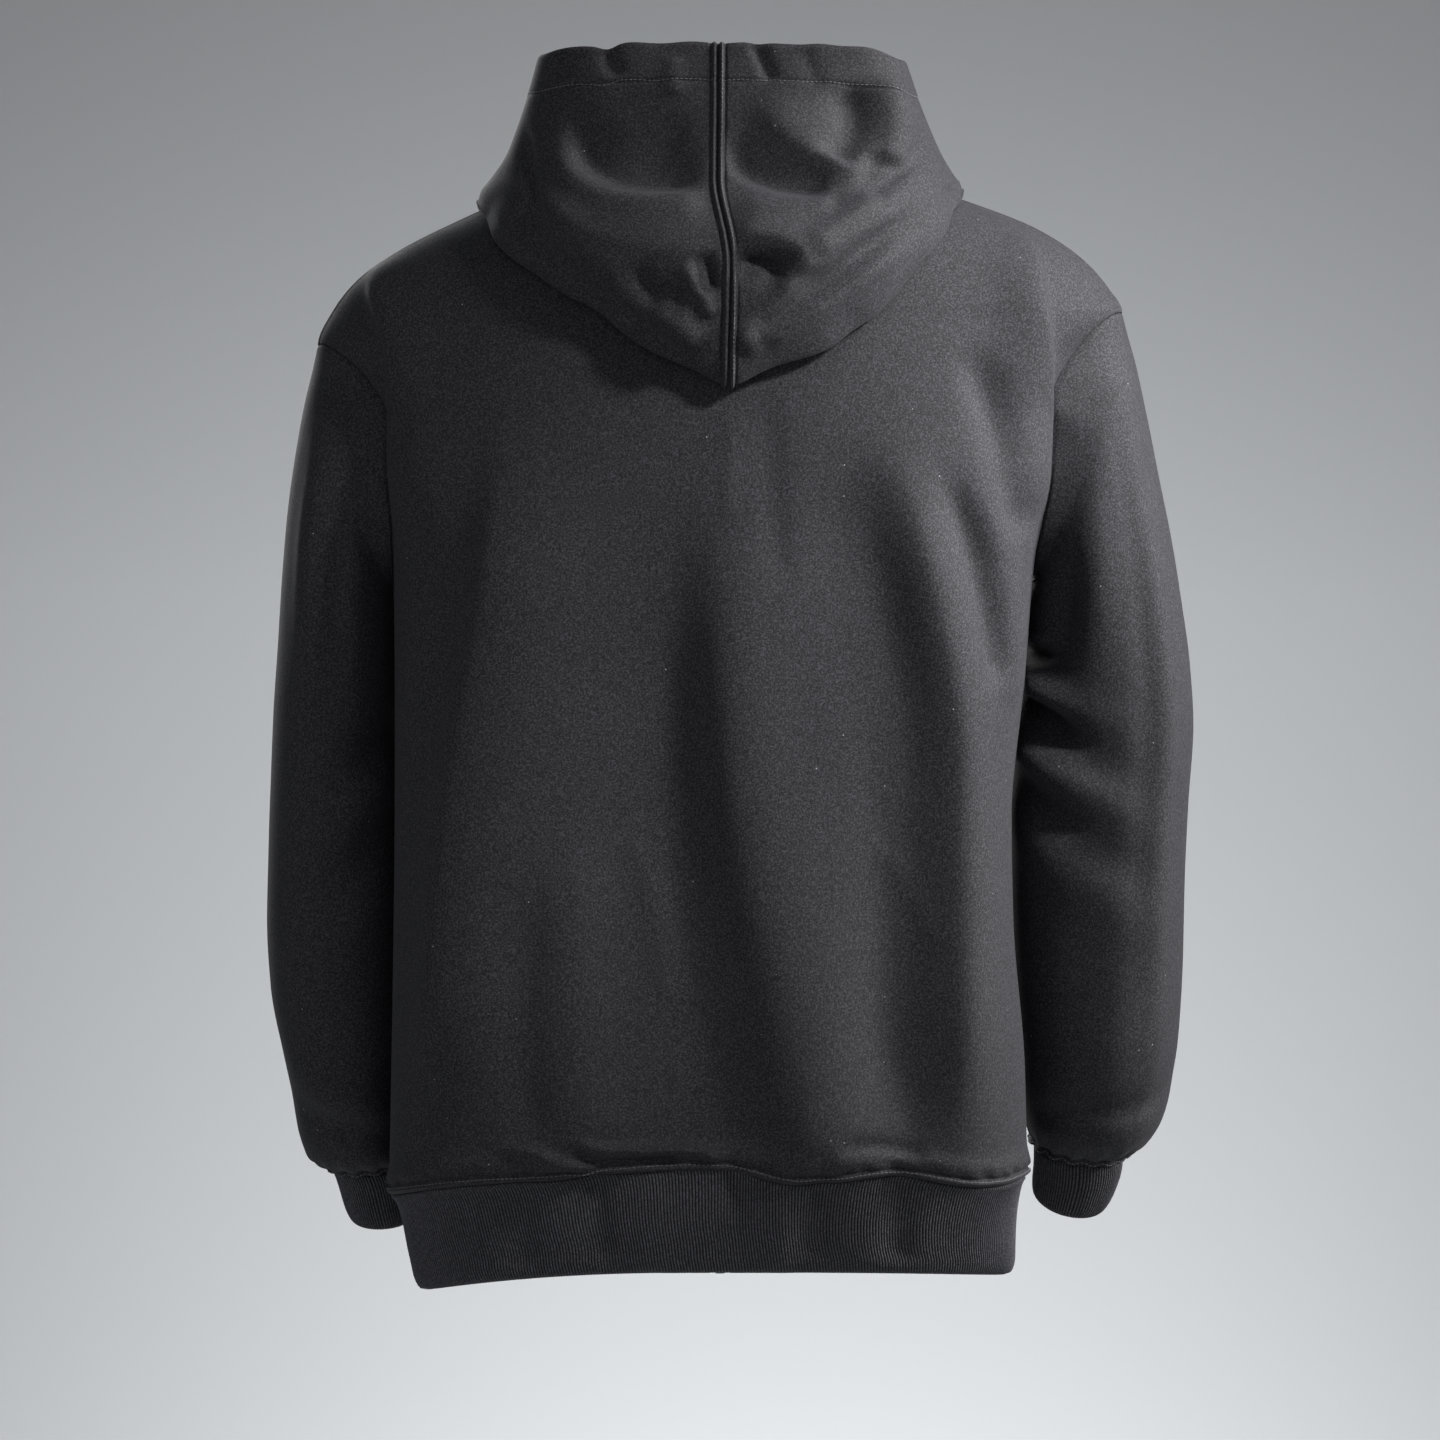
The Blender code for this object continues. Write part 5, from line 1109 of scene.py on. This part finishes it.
def make_sleeve(name, side, finish, columns=122, rows=200):
    """A sleeve: smooth rings from the armhole to the cuff, creased, and gathered into the cuff
    by a cosine that grows towards it."""
    first, trunk_normal = armhole_ring(side, columns)
    knots = np.concatenate([first[None], ring_points(SLEEVES[side], side, columns)])
    last = len(knots) - 1
    at = close_at_ends(rows, 0.5) * last
    plain = smooth_through(at, range(len(knots)), knots).reshape(len(at), columns, 3)
    normal = grid_normals(plain, closed=True)
    normal[0] = trunk_normal
    turn = ring_angles(side, columns)
    gathered = GATHER_HEIGHT * np.cos(GATHERS * turn + GATHER_DRIFT * np.sin(turn))
    near_cuff = smooth_step((at - last + GATHER_FROM) / GATHER_GROWS)
    near_cuff *= smooth_step((last - at) / GATHER_ENDS)
    height = sleeve_creases(side, at, columns) + gathered[None, :] * near_cuff[:, None]
    plain = plain + normal * height[..., None]
    clearance = SLEEVE_CLEARANCE * smooth_step(at[1:, None] / CLEARANCE_GROWS)
    plain[1:] = clear_of_trunk(plain[1:], clearance)
    normal[1:] = grid_normals(plain, closed=True)[1:]
    outer = sewn(plain, normal, ("top",), ("bottom",))
    made = shell(name + "_cloth", outer, plain - normal * CLOTH, finish, closed=True)
    cloth_piece(made, name)
    return outer, normal


def make_cuff(name, side, finish, ribs=92, rows=14):
    """A cuff: rings smoothly through its table, with knitted ribs."""
    columns = ribs * RIB_SAMPLES
    knots = ring_points(CUFFS[side], side, columns)
    at = close_at_ends(rows, 0.7) * (len(knots) - 1)
    plain = smooth_through(at, range(len(knots)), knots).reshape(rows, columns, 3)
    plain = clear_of_trunk(plain, SLEEVE_CLEARANCE)
    normal = grid_normals(plain, closed=True)
    made = rib_shell(name + "_cloth", plain, normal, ribs, CUFF_CURL, finish, closed=True)
    cloth_piece(made, name)


# ---------------------------------------------------------------- hood
def hood_knots(angle):
    """The hood's profile at each loop angle: outer layer, bulge, edge, then under layer."""
    from_side = np.degrees(np.arcsin(np.sin(angle)))
    table = smooth_through(from_side, [line[0] for line in HOOD_FOLD], [line[1:] for line in HOOD_FOLD])
    trunk_degrees, side_z, edge_out, bulge_out = np.moveaxis(table, -1, 0)
    on_left = np.radians(trunk_degrees)
    trunk_angle = np.where(np.cos(angle) >= 0, on_left, math.pi - on_left)

    def off_trunk(share, out):
        """Points off the trunk, a share of the way from the neckline down to the fold."""
        point, normal = trunk(side_z * share, trunk_angle)
        return point + normal * np.asarray(out)[..., None]

    knots = [loop_point(loop, angle, BEND_BACK, BEND_FRONT) for loop in HOOD_LOOPS]
    knots.append(off_trunk(BULGE_AT, bulge_out))
    knots.append(off_trunk(1.0, edge_out))
    for layer in UNDER_LAYER:
        knots.append(off_trunk(layer.share, layer.clearance))
    neck, normal = trunk(np.full_like(side_z, -SEAM_GAP), trunk_angle)
    knots.append(neck + normal * NECK_CLEARANCE)
    return np.array(knots)


HOOD_WELT = 0.78  # its centre seam is narrower than the other seams by this share
SEAM_BAND, BAND_COLUMNS, SIDE_COLUMNS = 0.010, 18, 128
ROUND_SAMPLES = 360  # of half a hood, from which its columns are read


def columns_from_seam(grid):
    """The grid with new columns: close ones at fixed distances from the middle column, where the
    seam is, and even ones from there to both ends."""
    middle = grid.shape[1] // 2
    walked = from_edge(grid, "left")
    walked = walked - walked[:, [middle]]
    close = np.linspace(0, SEAM_BAND, BAND_COLUMNS + 1)[:-1]
    share = np.linspace(0, 1, SIDE_COLUMNS)
    rows = []
    for far, row in zip(walked, grid):
        ends = (-far[0], far[-1])
        left, right = (np.append(close, SEAM_BAND + (end - SEAM_BAND) * share) for end in ends)
        rows.append(read_line(row, far, np.append(-left[:0:-1], right)))
    return np.array(rows)


def make_hood(finish):
    """Both hood panels from one grid, with the rim's casing, the centre seam's welt and the
    creases of the hanging bag."""
    angle = math.pi / 2 + (math.pi / 2 + HOOD_FRONT) * np.linspace(-1, 1, 2 * ROUND_SAMPLES + 1)
    middle = BAND_COLUMNS + SIDE_COLUMNS - 1
    knots = hood_knots(angle)
    knots[..., 0] += np.array(SEAM_DRIFT)[:, None] * bell(angle - math.pi / 2, SEAM_SPREAD)
    lowest = knots[EDGE_KNOT]
    drop = dips_at(lowest[:, 0], EDGE_DIPS) * (lowest[:, 1] > 0)
    knots[EDGE_KNOT - 1 : EDGE_KNOT + 2, :, 2] -= drop * np.array(EDGE_SHARES)[:, None]
    stretches = [np.arange(rows) / rows + k for k, rows in enumerate(HOOD_KNOT_ROWS)]
    at = np.append(np.concatenate(stretches), len(knots) - 1.0)
    plain = smooth_through(at, range(len(knots)), knots).reshape(len(at), len(angle), 3)
    plain = columns_from_seam(plain)
    normal = grid_normals(plain, closed=False)
    outer_layer = smooth_step((HOOD_OUTER_KNOTS - at) / 0.6)[:, None]
    from_left = from_edge(plain, "left")
    from_seam = np.abs(from_left - from_left[:, [middle]])
    calm = SEAM_STIFF + (1 - SEAM_STIFF) * smooth_step(from_seam / SEAM_CALM)
    height = drape_height(plain, HOOD_CREASES) * outer_layer * calm
    below_rim = from_edge(plain, "top")
    casing = smooth_step((CASING - below_rim) / CASING_EDGE)
    height += CASING_RISE * casing - CASING_DITCH * bell(below_rim - CASING, CASING_DITCH_WIDTH)
    height -= RIM_ROUND * bell(below_rim, RIM_ROUND_WIDTH)
    rim = plain[0]
    drop = RIM_WAVE * np.sin(from_left[0] / RIM_WAVE_LENGTH)
    drop += dips_at(rim[:, 0], RIM_DIPS) * (rim[:, 1] > 0)
    plain[..., 2] -= drop[None, :] * smooth_step(1 - below_rim / RIM_FADE)
    creased = plain + normal * height[..., None]
    thick = (CLOTH + (HOOD_HEM - CLOTH) * casing)[..., None]
    within = plain + normal * (height[..., None] - thick)
    made = []
    halves = (("left", slice(0, middle + 1), "right"), ("right", slice(middle, None), "left"))
    for word, part, edge in halves:
        facing = normal[:, part]
        outer = sewn(creased[:, part], facing, (), (edge,), HOOD_WELT)
        name = f"hood_{word}"
        piece = shell(name + "_cloth", outer, within[:, part], finish)
        cloth_piece(piece, name)
        made.append((outer, facing, at))
    return made


# ---------------------------------------------------------------- zip
def centre_strip(arc_ends, z_ends, columns, rows):
    """Points and normals of a strip along the centre front, between two arcs from it."""
    side_z = np.linspace(z_ends[0], z_ends[1], rows)
    arcs, _, middle = panel_edges(side_z)
    across = np.linspace(arc_ends[0], arc_ends[1], columns)
    return trunk(side_z[:, None], angles_at(arcs, middle[:, None] + across))


def make_tape(name, side, finish):
    """A zip tape: a flat strip behind the front's edge, with a raised cord along the teeth."""
    ends = sorted((side * TAPE_EDGE, side * (TAPE_EDGE + TAPE_WIDTH)))
    point, normal = centre_strip(ends, (-SEAM_GAP, HEM_END), TAPE_COLUMNS, TAPE_ROWS)
    word = "left" if side == LEFT else "right"
    inner_edge = from_edge(point, word)
    cord = CORD_HEIGHT * bell(inner_edge - CORD_AT, CORD_WIDTH)
    outer = point + normal * (cord - TAPE_DEPTH)[..., None]
    made = shell(name + "_cloth", outer, point - normal * (TAPE_DEPTH + TAPE_THICK), finish)
    cloth_piece(made, name)


def tooth_outline():
    """A tooth seen from the front, across and up: a narrow neck at the tape, a broad head past
    the centre line, with cut corners."""
    high = TOOTH_HEIGHT / 2
    lower = np.array(
        [
            (-CHAIN_HALF, -high * TOOTH_NECK),
            (TOOTH_WAIST, -high * TOOTH_NECK),
            (TOOTH_SHOULDER, -high),
            (TOOTH_REACH - TOOTH_CORNER, -high),
            (TOOTH_REACH, -high * TOOTH_NOSE),
        ]
    )
    return np.concatenate([lower, lower[::-1] * (1, -1)])


def make_teeth(finish):
    """The closed row of teeth: each side's teeth at an even pitch, and the two sides half a pitch
    apart. Every tooth is its outline carried from front to back, with bevelled faces."""
    outline = tooth_outline()
    centre = outline.mean(axis=0)
    top, low = SLIDER_AT - SEAM_GAP, HEM_END + BOX_LENGTH + SEAM_GAP
    line, facing = centre_strip((0.0, 0.0), (top, low), 1, CHAIN_SAMPLES)
    line, facing = line[:, 0], facing[:, 0]
    walked = line_lengths(line)
    depth_mid = (CHAIN_FRONT + CHAIN_BACK) / 2
    half_depth = (CHAIN_FRONT - CHAIN_BACK) / 2
    points, faces, count = [], [], 0
    for side, phase in ((LEFT, 0.5), (RIGHT, 1.0)):
        middles = np.arange(TOOTH_PITCH * phase, walked[-1] - TOOTH_HEIGHT / 2, TOOTH_PITCH)
        at, out = read_line(line, walked, middles), unit(read_line(facing, walked, middles))
        across = np.array([-side, 0.0, 0.0])
        up = np.cross(out, np.array([1.0, 0.0, 0.0]))
        rings = []
        for share, size in TOOTH_LEVELS:
            shape = centre + (outline - centre) * size
            ring = at[:, None, :] + shape[:, :1] * across + shape[:, 1:] * up[:, None, :]
            rings.append(ring + out[:, None, :] * (depth_mid + half_depth * share))
        points.append(np.stack(rings, 1).reshape(-1, 3))
        flanks, front, back, count = prism_faces(len(middles), len(TOOTH_LEVELS), len(outline), count)
        if side == LEFT:
            faces += [flanks, front[:, ::-1], back[:, ::-1]]
        else:
            faces += [flanks[:, ::-1], front, back]
    made = mesh_piece("zip_teeth", np.concatenate(points), faces, finish)
    fix_normals(made)
    made.data.set_sharp_from_angle(angle=math.radians(35))
    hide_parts("zip_chain")
    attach(made, "garment")


def fix_normals(made):
    """Turns the faces of each closed body of a mesh to face out."""
    shape = bmesh.new()
    shape.from_mesh(made.data)
    bmesh.ops.recalc_face_normals(shape, faces=shape.faces)
    shape.to_mesh(made.data)
    shape.free()


def softened_copy(node, body, width, finish):
    """A copy of a metal solid with its doubles merged and its edges rounded."""
    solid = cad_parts[node]
    shape = bmesh.new()
    shape.from_mesh(solid.data)
    bmesh.ops.remove_doubles(shape, verts=shape.verts, dist=1e-6)
    bmesh.ops.dissolve_limit(shape, angle_limit=math.radians(2), verts=shape.verts, edges=shape.edges)
    mesh = bpy.data.meshes.new(node + "_metal")
    shape.to_mesh(mesh)
    shape.free()
    mesh.materials.clear()
    mesh.materials.append(finish)
    made = bpy.data.objects.new(node + "_metal", mesh)
    bpy.context.scene.collection.objects.link(made)
    bevel = made.modifiers.new("softened", "BEVEL")
    bevel.width = width
    bevel.segments = 2
    bevel.limit_method = "ANGLE"
    bevel.angle_limit = math.radians(35)
    mesh.shade_smooth()
    mesh.set_sharp_from_angle(angle=math.radians(50))
    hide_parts(node)
    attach(made, body)


# ---------------------------------------------------------------- camera, lights and studio
MIDDLE = -0.365  # the height that the camera looks at
CAMERA_AWAY, LENS = 9.0, 334.4  # metres, and millimetres
FLOOR, FLOOR_END, FLOOR_HALF = -2.085, 14.0, 16.0
BACKDROP, BACKDROP_HEIGHT, BEND = -10.6, 8.0, 1.9
ROOM_STRENGTH = 0.19
CHEST = (0.0, 0.08, -0.35)
Softbox = namedtuple("Softbox", "name place target size watts shade")
SOFTBOXES = [
    Softbox("side_softbox", (-2.12, 0.01, 0.22), CHEST, (0.4, 0.6), 42.0, "#ffffff"),
    Softbox("high_softbox", (-1.35, 0.08, 1.38), CHEST, (0.4, 0.6), 30.0, "#ffffff"),
    Softbox("front_panel", (0.0, 3.08, 0.15), CHEST, (1.5, 1.5), 7.0, "#f6f6ff"),
    Softbox("left_panel", (2.20, 1.28, -0.15), CHEST, (1.0, 1.4), 5.0, "#f6f6ff"),
    Softbox("front_fill", (0.9, -2.7, 0.55), (0.0, -0.1, -0.35), (1.6, 1.6), 40.0, "#ffffff"),
    Softbox("backdrop_glow", (-0.145, -8.42, -1.14), (-0.145, -10.6, -1.0), (0.73, 0.73), 42.0, "#ffffff"),
    Softbox("floor_glow", (0.0, -9.3, -1.94), (0.0, -10.6, -1.43), (4.4, 0.44), 46.0, "#ffffff"),
]
Spot = namedtuple("Spot", "name place target degrees softness watts")
SPOTS = [
    Spot("low_key", (-1.50, 1.15, 0.95), (0.12, 0.11, -0.42), 16, 0.22, 110.0),
    Spot("shoulder_key", (-1.60, 1.25, 1.10), (-0.20, 0.08, -0.18), 17, 0.16, 220.0),
]


def look_at(place, target):
    """The rotation that points an object's -Z from one place to another, with +Y up."""
    return (Vector(target) - Vector(place)).to_track_quat("-Z", "Y").to_euler()


def add_camera():
    camera = bpy.data.cameras.new("camera")
    camera.lens = LENS
    camera.sensor_width = 36.0
    camera.clip_end = 30.0
    made = bpy.data.objects.new("camera", camera)
    made.location = (0.0, CAMERA_AWAY, MIDDLE)
    made.rotation_euler = look_at(made.location, (0.0, 0.0, MIDDLE))
    bpy.context.scene.collection.objects.link(made)
    bpy.context.scene.camera = made


def add_light(name, kind, place, target, watts, settings):
    """A lamp that points from one place to another, with the settings of its kind."""
    light = bpy.data.lights.new(name, kind)
    light.energy = watts
    for setting, value in settings.items():
        setattr(light, setting, value)
    made = bpy.data.objects.new(name, light)
    made.location = place
    made.rotation_euler = look_at(place, target)
    made.visible_camera = kind == "SPOT"
    bpy.context.scene.collection.objects.link(made)


def add_studio():
    """A pale floor that curves up into a backdrop, soft lights and a dim room. The backdrop is
    farther away than a camera that is carried round to the front."""
    rise = np.linspace(0, math.pi / 2, 24)
    curve = zip(BACKDROP + BEND * (1 - np.sin(rise)), BEND * (1 - np.cos(rise)))
    sweep = [(FLOOR_END, 0.0), *curve, (BACKDROP, BACKDROP_HEIGHT)]
    across = (-FLOOR_HALF, 0.0, FLOOR_HALF)
    points = np.array([[(x, y, z + FLOOR) for x in across] for y, z in sweep])
    grid = np.arange(len(sweep) * len(across)).reshape(len(sweep), len(across))
    finish, tree, shader = new_material("pale_studio_paper", "#b8babc", 0.95, Specular_IOR_Level=0.1)
    grain = add_node(tree, "TexNoise", None, {"Scale": 3.0, "Detail": 2.0})
    paper = thread_ramp(tree, grain.outputs["Fac"], ((0.3, "#b6b8ba"), (0.7, "#babcbe")))
    tree.links.new(paper, shader.inputs["Base Color"])
    backdrop = mesh_piece("studio_sweep", points.reshape(-1, 3), [quads(grid)], finish)
    for box in SOFTBOXES:
        width, height = box.size
        shape = {"shape": "RECTANGLE", "size": width, "size_y": height, "color": colour(box.shade)[:3]}
        add_light(box.name, "AREA", box.place, box.target, box.watts, shape)
    for spot in SPOTS:
        cone = {"spot_size": math.radians(spot.degrees), "spot_blend": 1.0}
        cone["shadow_soft_size"] = spot.softness
        add_light(spot.name, "SPOT", spot.place, spot.target, spot.watts, cone)
    world = bpy.data.worlds.new("room")
    world.use_nodes = True
    room = world.node_tree.nodes["Background"]
    room.inputs["Color"].default_value = colour("#b9bec4")
    room.inputs["Strength"].default_value = ROOM_STRENGTH
    bpy.context.scene.world = world
    bpy.context.scene.view_settings.view_transform = "Standard"
    bpy.context.scene.view_settings.look = "None"


# ---------------------------------------------------------------- the whole
HEM_LINE, CUFF_LINE, CASING_LINE = -6, -3, 24  # rows of the grids that lie beside the stitches
WELT_LINE = 6  # and a column


def make_garment():
    jersey, rib, tape = fleece_jersey(), rib_jersey(), zip_tape_weave()
    metal, thread = gunmetal(), sewing_thread()
    back, back_up = make_panel(
        "back_panel", 184, ("left", "right", "top"), ("bottom",), jersey
    )
    lines = [(line_beside(back, "bottom", STITCHED_AT), back_up[HEM_LINE])]
    for word, side, side_seam, zip_edge, sleeve_flat, sleeve_area in (
        ("left", LEFT, "right", "left", (0.50, 0.59), 0.185),
        ("right", RIGHT, "left", "right", (0.52, 0.60), 0.205),
    ):
        front, front_up = make_panel(
            f"front_{word}", 80, (side_seam, "top"), ("bottom", zip_edge), jersey
        )
        sleeve, sleeve_up = make_sleeve(f"sleeve_{word}", side, jersey)
        make_cuff(f"cuff_{word}", side, rib)
        make_tape(f"zip_tape_{word}", side, tape)
        lines.append((line_beside(front, "bottom", STITCHED_AT), front_up[HEM_LINE]))
        lines.append((line_beside(front, zip_edge, STITCHED_AT), front_up[:, 0 if side == LEFT else -1]))
        lines.append((line_beside(sleeve, "bottom", STITCHED_AT), sleeve_up[CUFF_LINE]))
    make_hem_rib(rib)
    for outer, up, _ in (hood := make_hood(jersey)):
        lines.append((line_beside(outer, "top", CASING), up[CASING_LINE]))
    right_outer, right_up, at = hood[1]
    shown = at < SEAM_STITCH_KNOTS
    welt = line_beside(right_outer[shown], "left", STITCHED_AT * HOOD_WELT)
    lines.append((welt, right_up[shown][:, WELT_LINE]))
    stitches("top_stitching", lines, thread)
    make_teeth(metal)
    softened_copy("zip_slider", "garment", 0.0003, metal)
    softened_copy("zip_box", "garment", 0.0004, metal)
    softened_copy("zip_pull", "pull_tab", 0.0003, metal)


add_camera()
add_studio()
make_garment()
